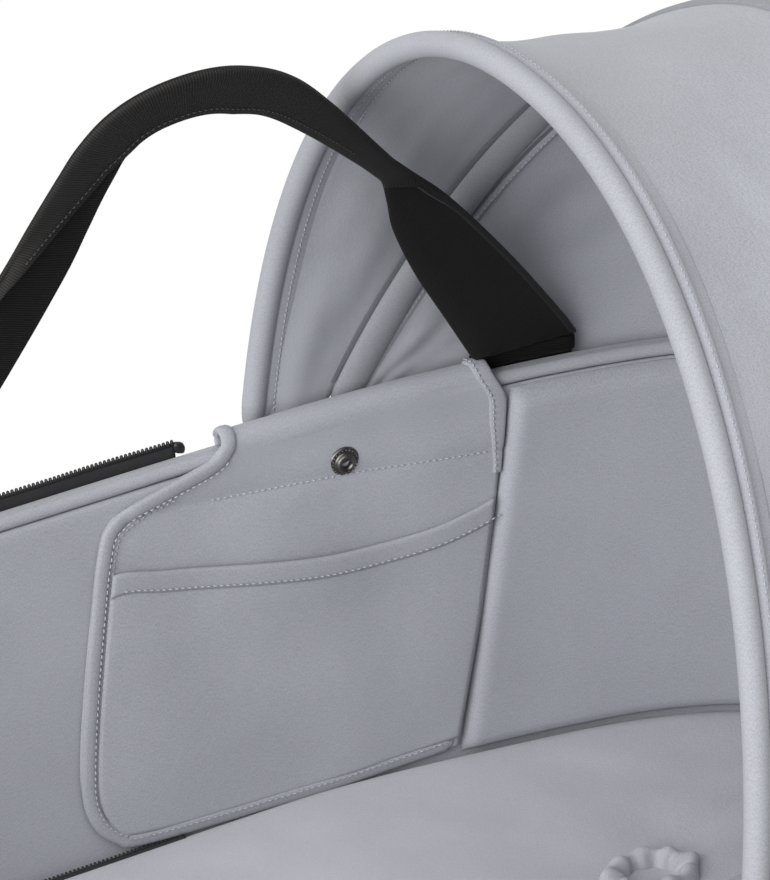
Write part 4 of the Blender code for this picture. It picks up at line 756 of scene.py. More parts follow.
def makeMattress():
    # rings up the side with puckers, then shrinking rings at the height of the top
    steps = mattress["steps"]
    share = np.arange(steps) / steps
    low, high = mattress["bottom"], mattress["edge"]
    side = []
    for f, inset in ((0.0, 0.013), (0.03, 0.009), (0.09, 0.0055), (0.20, 0.0048), (0.34, 0.0050), (0.48, 0.0068),
                     (0.56, 0.0068), (0.66, 0.0056), (0.80, 0.0046), (0.90, 0.0048), (0.96, 0.0056), (1.0, 0.0080)):
        z = low + (high - low) * f
        pucker = 0.0007 * cloudy(share * ringLength, 0 * share + f, 21, 0.05) * math.sin(math.pi * f)
        z = z + f ** 2 * (edgeHeight(ringPoint(share, 0.0, 0.0)[:, 0]) - high)
        side.append(ringPoint(share, tub["rim"] - z, -inset + pucker))
    over = []
    for s in np.concatenate([np.linspace(0.985, 0.04, 60), [0.02]]):
        ring = side[-1] * np.array([s, s, 1.0])
        ring[:, 2] = mattressTop(ring[:, 0], ring[:, 1])
        over.append(ring)
    points = np.concatenate([shrunk(side[0], (0.03, 0.4, 0.8)), np.array(side), np.array(over)])
    piece = gridPiece("mattressCover", points, cloths["sheet"], wrapColumns=True, caps=True)
    settle(piece, "tub", "mattress_cover")
    # a welted edge round the bottom
    welt = sweep(ringPoint(share, tub["rim"] - low - 0.004, -0.0072), roundOutline(0.0016, 8))
    piece = gridPiece("mattressWelts", welt, cloths["binding"], outward=False, wrapRows=True, wrapColumns=True)
    settle(piece, "tub")


def makeMattressCore():
    # rings drawn in at the lower and upper edge of the foam
    share = np.arange(120) / 120
    rings = []
    for z, inset in ((0.0236, 0.024), (0.0240, 0.0195), (0.030, 0.0182), (0.058, 0.0182), (0.0640, 0.0195),
                     (0.0646, 0.024)):
        rings.append(ringPoint(share, tub["rim"] - z, -inset))
    piece = gridPiece("mattressCore", np.array(rings), cloths["foam"], wrapColumns=True, caps=True)
    settle(piece, "tub", "mattress_core")


def toothParts(path, up, out, pitch, size):
    # zip coil: one rounded loop standing on the tape at every pitch
    run = arcRun(path)
    count = int(run[-1] / pitch)
    at = (np.arange(count) + 0.5) * run[-1] / count
    spot = np.stack([np.interp(at, run, path[:, i]) for i in range(3)], 1)
    up = unit(np.stack([np.interp(at, run, up[:, i]) for i in range(3)], 1))
    out = unit(np.stack([np.interp(at, run, out[:, i]) for i in range(3)], 1))
    ahead = unit(np.cross(up, out))
    rows = []
    for a, b, t in ((-1.0, 0.55, 0.55), (-0.6, 0.95, 0.80), (0.35, 1.0, 1.0), (1.0, 0.75, 0.85), (1.35, 0.4, 0.45)):
        ring = []
        for k in range(8):
            c, s = math.cos(k * math.pi / 4), math.sin(k * math.pi / 4)
            ring.append(spot + up * a * size[0] + out * (c * size[1] * b) + ahead * (s * size[2] * t))
        rows.append(np.stack(ring, 1))
    grid = np.stack(rows, 1)
    one, _ = gridFaces(5, 8, False, True)
    one = one.tolist() + [list(range(8)), list(range(32, 40))]
    faces = [[i + 40 * s for i in face] for s in range(count) for face in one]
    corners = sum(len(f) for f in one) * count
    return grid.reshape(-1, 3), faces, np.zeros((corners, 2))


def makeMattressZip():
    # a band on the top edge of the far side, with teeth at every pitch
    share = np.linspace(shareAt(0.0206, 0.18), shareAt(-0.1985, 0.18), 160)
    tape = []
    rise = edgeHeight(ringPoint(share, 0.0, 0.0)[:, 0]) - mattress["edge"]
    for height, offset in ((0.0600, -0.0062), (0.0600, -0.0046), (0.0650, -0.0044), (0.0676, -0.0050),
                           (0.0690, -0.0068), (0.0692, -0.0094), (0.0684, -0.0094)):
        tape.append(ringPoint(share, tub["rim"] - height - rise, offset))
    settle(ribbon("mattressZip", tape, cloths["zip"]), "tub", "mattress_zip")
    path = ringPoint(share, tub["rim"] - 0.0686 - rise, -0.0062)
    out = unit(ringPoint(share, 0.17, 0.01) - ringPoint(share, 0.17, 0.0))
    up = np.broadcast_to([0.0, 0.0, 1.0], out.shape)
    teeth = toothParts(path, up, out, 0.0020, (0.0006, 0.0012, 0.0006))
    settle(newPiece("mattressZipTeeth", *teeth, cloths["teeth"], outward=False), "tub")


pull = {"x": 0.178, "y": 0.0212, "radius": 0.0175, "full": 0.0062, "gathers": 9}


def makePull():
    # a ring of cloth drawn up into gathers, its crest uneven
    count, sides = 216, 24
    turn = np.arange(count) * 2 * np.pi / count
    rows = []
    for t in turn:
        gather = 0.5 + 0.5 * math.cos(pull["gathers"] * t + 0.5 * math.sin(2 * t))
        deep = 0.82 + 0.26 * gather + 0.06 * math.sin(3 * t + 1.0)
        out = np.array([math.cos(t), 0.72 * math.sin(t)])
        centre = np.array([pull["x"], pull["y"]]) + out * pull["radius"]
        ring = []
        for k in range(sides):
            s = 2 * math.pi * k / sides
            r = pull["full"] * deep * (1 + 0.10 * math.sin(3 * s + 4 * t))
            across, up = math.cos(s), max(math.sin(s), -0.12)
            spot = centre + out * across * r
            ring.append([spot[0], spot[1], 0.0758 + up * r * 1.25])
        rows.append(ring)
    points = np.array(rows)
    base = mattressTop(points[..., 0], points[..., 1])
    points[..., 2] += (base - 0.0758) * 0.9
    piece = gridPiece("mattressPull", points, cloths["sheet"], wrapRows=True, wrapColumns=True)
    settle(piece, "tub", "mattress_pull")


makeMattress()
makeMattressCore()
makeMattressZip()
makePull()
print("mattress made")

# Head-section pad
pad = {"topX": 0.2030, "bottomX": 0.1590, "back": -0.0031, "thick": 0.0075, "round": 0.0080,
       "top": 0.0036, "foot": 0.1712}


def padEnd(depth):
    # the pad's end moves in step with the depth
    x = pad["topX"] + (pad["bottomX"] - pad["topX"]) * depth / tub["taperDepth"]
    return shareAt(x, depth)


def rounded(distance, radius):
    # a padded edge: from 0 on the edge to 1 one radius inwards, along a superellipse
    k = np.clip(1 - distance / radius, 0, 1)
    return (1 - k ** 2.2) ** (1 / 2.2)


def makeHeadPad():
    # rows down the wall from end to end: the thickness is its rounded edges times softness and puckers
    u = np.linspace(-1, 1, 260)
    front, back = [], []
    for depth in pad["top"] + (pad["foot"] - pad["top"]) * np.linspace(0, 1, 44):
        end = padEnd(depth)
        share = u * end
        along = (1 - np.abs(u)) * end * ringLength
        full = (rounded(along, pad["round"]) * rounded(depth - pad["top"], 0.006)
                * rounded(pad["foot"] - depth, 0.008))
        soft = 1 + 0.07 * cloudy(share * ringLength, depth + 0 * share, 31, 0.12)
        puckers = 0.05 * np.sin(share * ringLength / 0.011) * np.exp(-along / 0.012)
        thick = (pad["thick"] - 0.0006) * np.clip(full * (soft + puckers), 0.06, 1.08)
        front.append(ringPoint(share, depth, pad["back"] - thick))
        back.append(ringPoint(share, depth, pad["back"]))
    piece = newPiece("headPad", *closedSheet(np.array(front), np.array(back)), cloths["lining"])
    settle(piece, "tub", "head_pad")


makeHeadPad()
print("head pad made")

# Zip half for the apron, round the foot end
apron = {"endX": 0.048, "offset": 0.0109}


def makeApronZip():
    # a band that stands on the rim round the foot end, its teeth and its two stops
    start = float(shareAt(apron["endX"]))
    share = np.linspace(start, 1 - start, 700)
    profile = [(-0.0043, 0.0105), (-0.0046, 0.0109), (-0.0043, 0.0113), (0.0040, 0.0114), (0.0120, 0.0114),
               (0.0121, 0.0106), (0.0040, 0.0104)]
    wave = 0.0003 * cloudy(share * ringLength, 0 * share, 17, 0.05)
    tape = [ringPoint(share, d, o + wave * (d < 0.008)) for d, o in profile]
    settle(ribbon("apronZipTape", tape, cloths["zip"]), "tub", "apron_zip_tape")
    path = ringPoint(share, -0.0058, apron["offset"] + wave)
    out = unit(ringPoint(share, -0.0058, 0.03) - path)
    up = np.broadcast_to([0.0, 0.0, 1.0], out.shape)
    teeth = toothParts(path, up, out, 0.0020, (0.0011, 0.0012, 0.0008))
    cord = gridParts(sweep(ringPoint(share, -0.0052, apron["offset"] + wave), roundOutline(0.0008, 8)),
                     wrapColumns=True, caps=True)
    settle(newPiece("apronZipTeeth", *joinParts([teeth, cord]), cloths["teeth"], outward=False), "tub",
           "apron_zip_coil")
    path = ringPoint(share, 0.0095, 0.0116)
    lines = [(path, unit(ringPoint(share, 0.0095, 0.03) - path))]
    settle(stitchPiece("apronTapeStitches", lines, cloths["darkThread"]), "tub")
    for side in (1, -1):
        rows = []
        for t, r in ((0.0, 0.55), (0.12, 0.88), (0.3, 1.0), (0.7, 1.0), (0.88, 0.85), (1.0, 0.45)):
            p = farWall(apron["endX"] - 0.0006 + 0.0052 * t, 0.0, apron["offset"]) * np.array([1, side, 1])
            box = bandOutline(0.0058 * r, 0.0034 * r, 5, 3)
            rows.append([[p[0], p[1] + b, p[2] + 0.0038 - 0.0016 * t + a] for a, b in box])
        name = "apronZipStopFar" if side > 0 else "apronZipStopNear"
        piece = gridPiece(name, np.array(rows), cloths["teeth"], sharp=50, wrapColumns=True, caps=True)
        settle(piece, "tub", "apron_zip_stop_far" if side > 0 else "apron_zip_stop_near")


makeApronZip()
print("apron zip made")

# Pocket flap: one sheet that rolls over the rim and hangs down the far wall
flap = {"thick": 0.0018, "middle": -0.0042, "rows": 96, "columns": 110,
        "roll": ((-0.0003, 0.0074), (-0.0042, 0.0077), (-0.0074, 0.0056), (-0.0087, 0.0018), (-0.0079, -0.0018),
                 (-0.0056, -0.0037), (-0.0010, -0.0042), (0.0060, -0.0042), (0.0120, -0.0042))}
# left edge, right edge and bottom edge as measured: depth against x, and x against depth
flapLeft = ((-0.0120, 0.0660), (-0.0080, 0.0655), (-0.0045, 0.0612), (-0.0015, 0.0560), (0.0022, 0.0390),
            (0.0060, 0.0225), (0.0100, 0.0115), (0.0163, 0.0036), (0.0311, -0.0020), (0.0532, -0.0072),
            (0.0891, -0.0152), (0.1162, -0.0208), (0.1353, -0.0232), (0.1480, -0.0208), (0.1570, -0.0150),
            (0.1642, -0.0045), (0.1680, 0.0110), (0.1705, 0.0300))
flapRight = ((-0.0120, 0.1915), (-0.0060, 0.1936), (0.0000, 0.1964), (0.0050, 0.1982), (0.0110, 0.1980),
             (0.0268, 0.1945), (0.0634, 0.1866), (0.1005, 0.1775), (0.1372, 0.1668), (0.1666, 0.1585), (0.1720, 0.1570))
flapFoot = ((-0.030, 0.1600), (-0.0045, 0.1640), (0.0291, 0.1676), (0.0784, 0.1692), (0.1283, 0.1684),
            (0.1600, 0.1668))


def rollTable():
    # the roll over the rim as a curve, then straight down, with its running length
    line = curveThrough(flap["roll"], 400)
    foot = np.array([[0.1760, flap["middle"]]])
    line = np.vstack([line, foot])
    return arcRun(line), line


rollRun, rollLine = rollTable()
rollTop = float(rollRun[np.argmin(rollLine[:, 0])])


def rollDepth(s):
    return np.interp(s, rollRun, rollLine[:, 0])


def depthRun(depth):
    # running length at which the sheet reaches a depth on the inside
    inside = rollRun >= rollTop
    return np.interp(depth, rollLine[inside, 0], rollRun[inside])


def flapPuff(x, depth):
    # soft fullness of the sheet, less the grooves that the seam and the snap pull into it
    below = depth - topSeam(x)
    snap = np.hypot(x - 0.120, depth - 0.0165)
    full = 0.0009 * (1 + cloudy(x, depth * 1.4, 51, 0.09)) * ease(0.012, 0.03, depth)
    full = full + 0.0008 * hump(0.0, 0.0075, below + 0.0085) - 0.0006 * hump(0.0, 0.0016, below)
    return full + 0.0005 * np.exp(-(snap / 0.012) ** 2) - 0.0010 * np.exp(-(snap / 0.0065) ** 2)


def topSeam(x):
    # a straight line of depth against x
    return 0.0174 + (np.asarray(x, float) - 0.069) * (0.0298 - 0.0174) / (0.1904 - 0.069)


def flapPoint(x, s, lift=0.0):
    # lift is measured from the sheet's middle towards the side that faces the baby or the outside of the roll
    x, s = np.broadcast_arrays(np.asarray(x, float), np.asarray(s, float))
    depth = np.interp(s, rollRun, rollLine[:, 0])
    offset = np.interp(s, rollRun, rollLine[:, 1])
    small = 0.0008
    dd = np.interp(s + small, rollRun, rollLine[:, 0]) - np.interp(s - small, rollRun, rollLine[:, 0])
    do = np.interp(s + small, rollRun, rollLine[:, 1]) - np.interp(s - small, rollRun, rollLine[:, 1])
    size = np.maximum(np.hypot(dd, do), 1e-9)
    nd, no = do / size, -dd / size
    full = flapPuff(x, depth) * (s > rollTop) + lift
    wave = 0.0004 * cloudy(x, s * 0.4, 52, 0.07) * (s < rollTop + 0.01)
    sag = 0.0022 * hump(0.128, 0.05, x) * (1 - ease(0.004, 0.03, depth)) * ease(-0.011, -0.004, -np.abs(depth))
    return farWall(x, depth + nd * (full + wave) + sag * 0.35 * (depth < 0), offset + no * (full + wave))


def flapSides(s):
    # left and right end of the sheet at a running length
    depth = rollDepth(s)
    high = np.where(s < rollTop, -0.012, depth)
    return throughTable(flapLeft, high), throughTable(flapRight, high)


def flapGrid(rows, columns):
    # rows over the roll, then rows whose depth grows to that of the foot
    u = np.linspace(0, 1, columns)
    foot = np.linspace(0, 1, rows)
    start = np.linspace(0.0, float(depthRun(0.012)), 34)
    grid = []
    for s in start:
        left, right = flapSides(s)
        grid.append(flapPoint(left + (right - left) * u, s))
    for t in foot[1:]:
        t = 1 - (1 - t) ** 1.35
        depth = 0.012 + (0.1684 - 0.012) * t
        left, right = flapSides(float(depthRun(depth)))
        x = left + (right - left) * u
        reach = 0.012 + (throughTable(flapFoot, x) - 0.012) * t
        grid.append(flapPoint(x, depthRun(reach)))
    return np.array(grid)


def edgeLine(inset, lift, count=420):
    # down the left edge and along the foot, at a distance in from the edge
    s = np.linspace(0.0005, float(depthRun(0.166)), 260)
    left, _ = flapSides(s)
    left = [float(v) for v in left]
    corner = [(x, float(d)) for x, d in zip(left, s)]
    foot = [(x, float(depthRun(throughTable(flapFoot, x)))) for x in np.linspace(0.034, 0.1560, 60)]
    flat = np.array([p for p in corner if rollDepth(p[1]) < 0.1655] + foot)
    flat = curveThrough(flat[::6], 900)
    tangent = unit(np.gradient(flat, axis=0))
    across = np.stack([tangent[:, 1], -tangent[:, 0]], 1)
    moved = flat + across * inset
    line = evenly(moved, count)
    over = flapPoint(line[:, 0], line[:, 1], lift)
    up = unit(flapPoint(line[:, 0], line[:, 1], lift + 0.003) - over)
    return over, up


def acrossHinge(piece, *nodes):
    # hides the CAD nodes the piece stands for and bakes its place into the mesh; two points on the hinge line are
    # worked out but not used, and the piece is put on no body
    settle(piece, None, *nodes)
    tuple(farWall(0.10, 0.0030, -0.0042))
    tuple(farWall(0.10, 0.0130, -0.0042))
    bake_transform(piece)


def makeFlap():
    # a sheet over the grid
    grid = flapGrid(flap["rows"], flap["columns"])
    piece = sheetPiece("flapSheet", grid, flap["thick"], cloths["twill"])
    acrossHinge(piece, "flap_wrap", "flap_panel")


def makeFlapBinding():
    # a half-round outline along the left edge and the foot, thinner at both ends
    path, up = edgeLine(0.0031, 0.0009)
    side = unit(np.cross(up, unit(np.gradient(path, axis=0))))
    outline = ((-1.0, -0.5), (-1.06, 0.1), (-0.9, 0.62), (-0.55, 0.92), (0.0, 1.0), (0.5, 0.9), (0.85, 0.55),
               (1.0, 0.05), (0.95, -0.3), (0.4, -0.5), (-0.4, -0.5))
    fade = np.sqrt(np.clip(np.minimum(np.arange(len(path)), np.arange(len(path))[::-1]) / 5, 0.05, 1))
    rows = [path + side * (c * 0.0034 * fade)[:, None] + up * (s * 0.0017 * fade)[:, None] for c, s in outline]
    acrossHinge(ribbon("flapBinding", rows, cloths["binding"]), "flap_binding")


# the bound right end of the flap, from the outside over the roll and a little way down
flapEnd = {"from": 0.003, "to": 0.040, "wide": 0.0074, "narrow": 0.0030, "thick": 0.0015}


def makeFlapEnd():
    # a strip along the right edge, narrower below the roll, and its stitches
    s = np.linspace(flapEnd["from"], float(depthRun(flapEnd["to"])), 90)
    _, right = flapSides(s)
    wide = flapEnd["wide"] + (flapEnd["narrow"] - flapEnd["wide"]) * ease(0.010, 0.040, rollDepth(s)) * (s > rollTop)
    u = np.linspace(0, 1, 11)[None, :]
    x = (right - wide)[:, None] + (wide + 0.0006)[:, None] * u
    lift = 0.0009 + 0.0004 * np.sin(np.pi * u) + 0 * x
    piece = sheetPiece("flapEndBinding", flapPoint(x, s[:, None] + 0 * x, lift), flapEnd["thick"], cloths["binding"])
    acrossHinge(piece)
    line = right - wide * 0.80
    path = flapPoint(line, s, 0.0022)
    up = unit(flapPoint(line, s, 0.006) - path)
    stitches = stitchPiece("flapEndStitches", [(path[6:], up[6:])], cloths["thread"], pitch=0.0027)
    acrossHinge(stitches)


# pocket: a panel on the flap with a stitched hem that droops and comes up again on the right
pocketHem = ((-0.012, 0.0400), (0.0066, 0.0345), (0.030, 0.0400), (0.0697, 0.0486), (0.105, 0.0556),
             (0.1319, 0.0580), (0.155, 0.0572), (0.175, 0.0540), (0.1905, 0.0500))
pocket = {"hem": 0.0098, "left": 0.0072, "right": 0.0018}


def pocketPuff(x, depth):
    # fullness by sines down and across the pocket, more at the open top
    hem = throughTable(pocketHem, x)
    down = (depth - hem) / 0.11
    full = 0.0016 * np.sin(np.pi * np.clip(down, 0, 1) ** 0.6) * np.sin(np.pi * np.clip((x + 0.02) / 0.21, 0, 1))
    gape = 0.0016 * (1 - ease(0.0, 0.030, depth - hem)) * np.sin(np.pi * np.clip((x - 0.0) / 0.19, 0, 1)) ** 0.7
    return full + gape + 0.0006 * cloudy(x, depth, 61, 0.08)


def depthOf(edge, x):
    # an edge is a table of depth against x, and how far below it the line runs
    return throughTable(edge[0], x) + edge[1]


def pocketGrid(top, foot, rows, columns, lift):
    # rows from the top edge to the foot, each between the flap's sides at its own depth
    grid = []
    for t in np.linspace(0, 1, rows):
        guess = 0.045 + (0.158 - 0.045) * t
        u = np.linspace(0, 1, columns)
        left0, right0 = flapSides(float(depthRun(guess)))
        x = left0 + pocket["left"] + (right0 - pocket["right"] - left0 - pocket["left"]) * u
        depth = depthOf(top, x) + (depthOf(foot, x) - depthOf(top, x)) * t
        for _ in range(2):
            s = depthRun(depth)
            left, right = flapSides(s)
            x = left + pocket["left"] + (right - pocket["right"] - left - pocket["left"]) * u
            depth = depthOf(top, x) + (depthOf(foot, x) - depthOf(top, x)) * t
        grid.append(flapPoint(x, depthRun(depth), lift + pocketPuff(x, depth)))
    return np.array(grid)


def makePocket():
    # the panel hangs from under the hem to the flap's foot; the hem is a band of its own
    grid = pocketGrid((pocketHem, 0.0088), (flapFoot, -0.0052), 60, 90, 0.0018)
    panel = sheetPiece("pocketPanel", grid, 0.0013, cloths["twill"])
    settle(panel, "pocket_flap", "pocket_panel")
    grid = pocketGrid((pocketHem, 0.0), (pocketHem, pocket["hem"]), 9, 120, 0.0024)
    settle(sheetPiece("pocketHemBand", grid, 0.0021, cloths["binding"]), "pocket_flap", "pocket_hem")
    x = np.linspace(0.0075, 0.190, 400)
    depth = depthOf((pocketHem, 0.0082), x)
    lift = 0.0036 + pocketPuff(x, depth)
    path = flapPoint(x, depthRun(depth), lift)
    up = unit(flapPoint(x, depthRun(depth), lift + 0.003) - path)
    inner, over = edgeLine(0.0078, 0.0012)
    lines = [(path, up), (inner[60:], over[60:])]
    settle(stitchPiece("pocketStitches", lines, cloths["thread"]), "pocket_flap")


def makeTopStitches():
    # the seam below the roll, and the row along the bound edge
    x = np.linspace(0.055, 0.1925, 300)
    depth = topSeam(x)
    s = depthRun(depth)
    left, right = flapSides(s)
    keep = (x > left + 0.008) & (x < right - 0.006)
    path = flapPoint(x, s, 0.0010)[keep]
    up = unit(flapPoint(x, s, 0.004)[keep] - path)
    lines = [(path, up)]
    edge, over = edgeLine(0.0050, 0.0031)
    lines.append((edge[26:-6], over[26:-6]))
    acrossHinge(stitchPiece("flapStitches", lines, cloths["thread"]))


def makeSnap():
    # a profile turned round the axis, a ring of beads and a well
    seat = flapPoint(0.120, float(depthRun(0.0165)), 0.0006)
    up = unit(flapPoint(0.120, float(depthRun(0.0165)), 0.02) - seat)
    along = unit(farWall(0.13, 0.0165, 0) - farWall(0.11, 0.0165, 0))
    along = unit(along - up * float(along @ up))
    other = np.cross(up, along)
    profile = ((0.0020, -0.0004), (0.0021, 0.0010), (0.0024, 0.0024), (0.0029, 0.0030), (0.0036, 0.0033),
               (0.0042, 0.0030), (0.0045, 0.0022), (0.0047, 0.0012), (0.0053, 0.0009), (0.0064, 0.0010),
               (0.0070, 0.0006), (0.0072, 0.0000), (0.0070, -0.0008), (0.0030, -0.0012))
    turn = np.arange(64) * 2 * np.pi / 64
    circle = np.cos(turn)[:, None] * along + np.sin(turn)[:, None] * other
    rows = np.array([seat + circle * r + up * h for r, h in profile])
    parts = [gridParts(rows, wrapColumns=True, wrapRows=True)]
    for k in range(22):
        angle = 2 * np.pi * k / 22
        middle = seat + (math.cos(angle) * along + math.sin(angle) * other) * 0.0059 + up * 0.0010
        bead = []
        for t in np.linspace(0.12, math.pi - 0.12, 5):
            bead.append([middle + 0.00052 * (math.sin(t) * (math.cos(q) * along + math.sin(q) * other)
                                             + math.cos(t) * up) for q in np.arange(8) * math.pi / 4])
        parts.append(gridParts(np.array(bead), wrapColumns=True, caps=True))
    well = [[seat + (math.cos(q) * along + math.sin(q) * other) * r + up * h for q in turn[::4]]
            for r, h in ((0.0021, 0.0004), (0.0012, 0.0002), (0.0003, 0.0002))]
    parts.append(gridParts(np.array(well), wrapColumns=True, caps=True))
    piece = newPiece("ringSnap", *joinParts(parts), cloths["gunmetal"], sharp=60)
    settle(piece, "pocket_flap", "flap_snap")


makeFlap()
makeFlapBinding()
makeFlapEnd()
makePocket()
makeTopStitches()
makeSnap()
print("flap made")

# Hood: each bow is half a superellipse in a plane leaning back from the pivot
hood = {"pivot": (0.0876, 0.0, 0.2116),
        "front": {"setback": 0.0, "half": 0.2126, "rise": 0.2843, "lean": 6.27, "power": 2.13},
        "mid": {"setback": 0.0272, "half": 0.2068, "rise": 0.2992, "lean": 28.5, "power": 2.08},
        "foot": 0.0220, "columns": 181, "thick": 0.0016}


def bowCurve(which, foot, count):
    # half a superellipse: powers of sine and cosine, leaned back by its angle
    b = hood[which]
    start = math.asin((foot / b["rise"]) ** (b["power"] / 2))
    turn = np.linspace(start, math.pi - start, 2400)
    height = b["rise"] * np.abs(np.sin(turn)) ** (2 / b["power"])
    across = b["half"] * signedPower(np.cos(turn), 2 / b["power"])
    angle = math.radians(b["lean"])
    line = np.stack([hood["pivot"][0] + b["setback"] + height * math.sin(angle), across,
                     hood["pivot"][2] + height * math.cos(angle)], 1)
    return evenly(line, count)


frontLine = bowCurve("front", hood["foot"], hood["columns"])
midLine = bowCurve("mid", hood["foot"], hood["columns"])
hoodCentre = np.array([0.18, 0.0, 0.26])


def canopyFront(v):
    # rows from the front bow (0) to the mid bow (1)
    v = np.asarray(v, float)
    reach = unit(midLine - frontLine)
    first = frontLine + reach * 0.0052
    last = midLine - reach * 0.0046
    run = np.linspace(0, 1, len(first))[None, :]
    span = np.linalg.norm(last - first, axis=1)[None, :]
    t = v[:, None]
    base = first[None] * (1 - t[..., None]) + last[None] * t[..., None]
    normal = unit(np.cross(np.gradient(base, axis=1), (last - first)[None]))
    if normal[0, len(first) // 2, 2] < 0:
        normal = -normal
    arch = np.sin(np.pi * t)
    dip = -0.0040 * arch * (0.7 + 0.6 * np.sin(np.pi * run) ** 2)
    length = arcRun(first)[-1] * run
    creases = 0.0018 * cloudy(length, span * t, 71, 0.10) * arch
    creases = creases + 0.0007 * cloudy(length * 0.35, span * t, 72, 0.03) * arch * (1 - 0.6 * np.sin(np.pi * run))
    edge = 0.0022 * (1 - ease(0.0, 0.10, t)) + 0.0012 * ease(0.88, 1.0, t)
    return base + normal * (dip + creases + edge)[..., None], normal


def makeFrontCanopy():
    # a sheet between the two bows that follows both
    points, _ = canopyFront(np.linspace(0, 1, 44))
    piece = sheetPiece("frontCanopy", points, hood["thick"], cloths["twill"])
    settle(piece, None, "hood_front_canopy")
    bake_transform(piece)


def rearHem():
    # depth and offset of the hem ease from the sides to the head end
    start = float(shareAt(0.135))
    share = np.linspace(start, -start, hood["columns"])
    x = ringPoint(share, 0.0, 0.0)[:, 0]
    fall = ease(0.262, 0.318, x)
    depth = 0.0118 + (0.0100 - 0.0118) * fall
    offset = 0.0166 + (0.0156 - 0.0166) * fall
    return ringPoint(share, depth, offset)


def canopyRear(t):
    # a bent sheet: quadratic curves from the mid bow over a control line down to the hem, with folds
    hem = rearHem()
    control = midLine.copy()
    control[:, :2] = hem[:, :2]
    control[:, 2] += (hem - midLine)[:, 2] * 0.28
    reach = unit(control - midLine)
    top = midLine + reach * 0.0046
    t = np.asarray(t, float)[:, None, None]
    base = top * (1 - t) ** 2 + control * 2 * t * (1 - t) + hem * t ** 2
    normal = unit(np.cross(np.gradient(base, axis=1), np.gradient(base, axis=0)))
    middle = len(base) // 2, base.shape[1] // 2
    if normal[middle] @ (base[middle] - hoodCentre) < 0:
        normal = -normal
    run = np.linspace(0, 1, base.shape[1])[None, :]
    arch = np.sin(np.pi * t[..., 0] ** 0.8)
    length = 0.66 * run
    folds = 0.0022 * cloudy(length, t[..., 0] * 0.2, 81, 0.14) * arch
    folds = folds + 0.0008 * cloudy(length, t[..., 0] * 0.2, 82, 0.045) * arch ** 2
    return base + normal * folds[..., None], normal


def makeRearCanopy():
    # a sheet from the mid bow to the hem that follows the bow and the tub
    points, _ = canopyRear(np.linspace(0, 1, 56))
    piece = sheetPiece("rearCanopy", points, hood["thick"], cloths["twill"])
    settle(piece, None, "hood_rear_canopy")
    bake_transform(piece)


def bowFrame(which, line):
    # out: away from the hood's middle within the bow's plane; back: across that plane
    angle = math.radians(hood[which]["lean"])
    back = np.array([math.cos(angle), 0.0, -math.sin(angle)])
    tangent = unit(np.gradient(line, axis=0))
    out = unit(np.cross(tangent, back))
    if out[len(line) // 2, 2] < 0:
        out = -out
    return out, np.broadcast_to(back, out.shape)


def bowPiece(name, which, line, outline, finish, body, nodes=(), fade=6):
    # the outline's two numbers along the back and out directions of the bow, thinner at the ends
    out, back = bowFrame(which, line)
    k = np.minimum(np.arange(len(line)), np.arange(len(line))[::-1])
    size = np.sqrt(np.clip(1 - (1 - np.clip(k / fade, 0, 1)) ** 2, 0.03, 1))
    rows = [line + back * (a * size)[:, None] + out * (b * size)[:, None] for a, b in outline]
    return settle(ribbon(name, rows, finish), body, *nodes)


def makeHoodFront():
    # round binding on the bow, a hem outside, a facing inside and rows of stitches
    line = bowCurve("front", 0.0190, 260)
    round_ = [(0.0053 * math.cos(t), 0.0053 * math.sin(t)) for t in np.arange(20) * 2 * np.pi / 20]
    bowPiece("frontBinding", "front", line, round_, cloths["binding"], "hood_front", ["hood_front_binding"])
    # the hem behind the binding: a low band outside, held by a row of stitches
    outer = [(0.0040, 0.0010), (0.0056, 0.0024), (0.0068, 0.0036), (0.0086, 0.0038), (0.0098, 0.0032),
             (0.0108, 0.0020), (0.0098, 0.0010), (0.0068, 0.0008)]
    bowPiece("frontHem", "front", bowCurve("front", 0.0230, 260), outer, cloths["lining"], "hood_front")
    inner = [(0.0030, -0.0022), (0.0060, -0.0012), (0.0120, -0.0008), (0.0165, -0.0008), (0.0175, -0.0016),
             (0.0165, -0.0026), (0.0120, -0.0028), (0.0060, -0.0036)]
    bowPiece("frontFacing", "front", bowCurve("front", 0.0230, 260), inner, cloths["lining"], "hood_front")
    out, back = bowFrame("front", line)
    lines = [(line + back * 0.0076 + out * 0.0038, out), (line + back * 0.0082 - out * 0.0033, -out),
             (line + back * 0.0140 - out * 0.0029, -out)]
    settle(stitchPiece("hoodStitches", lines, cloths["thread"], pitch=0.0031), "hood_front")


def makeHoodMid():
    # an oval sleeve round the mid bow in a darker copy of the grey cloth, which is painted shade, and the turned edge
    # of the front panel as a strip of painted shadow
    line = bowCurve("mid", 0.0270, 240)
    ring = [(0.0024 + 0.0084 * math.cos(t), 0.0002 + 0.0048 * math.sin(t)) for t in np.arange(24) * 2 * np.pi / 24]
    bowPiece("midSleeve", "mid", line, ring, cloths["sleeve"], "hood_mid", ["hood_mid_sleeve"])
    # the turned edge of the front panel, a dark strip along the sleeve inside: painted shadow of the crease
    near, normal = canopyFront(np.array([0.90, 1.0]))
    keep = slice(5, -5)
    edge, ahead, inside = near[1][keep], unit(near[0] - near[1])[keep], -normal[1][keep]
    fold = ((-0.0010, 0.0006), (-0.0010, 0.0015), (0.0020, 0.0017), (0.0042, 0.0014),
            (0.0055, 0.0009), (0.0055, 0.0006))
    rows = [edge + ahead * a + inside * b for a, b in fold]
    settle(ribbon("panelFoldShadow", rows, cloths["shadeCloth"], 50), "hood_mid")


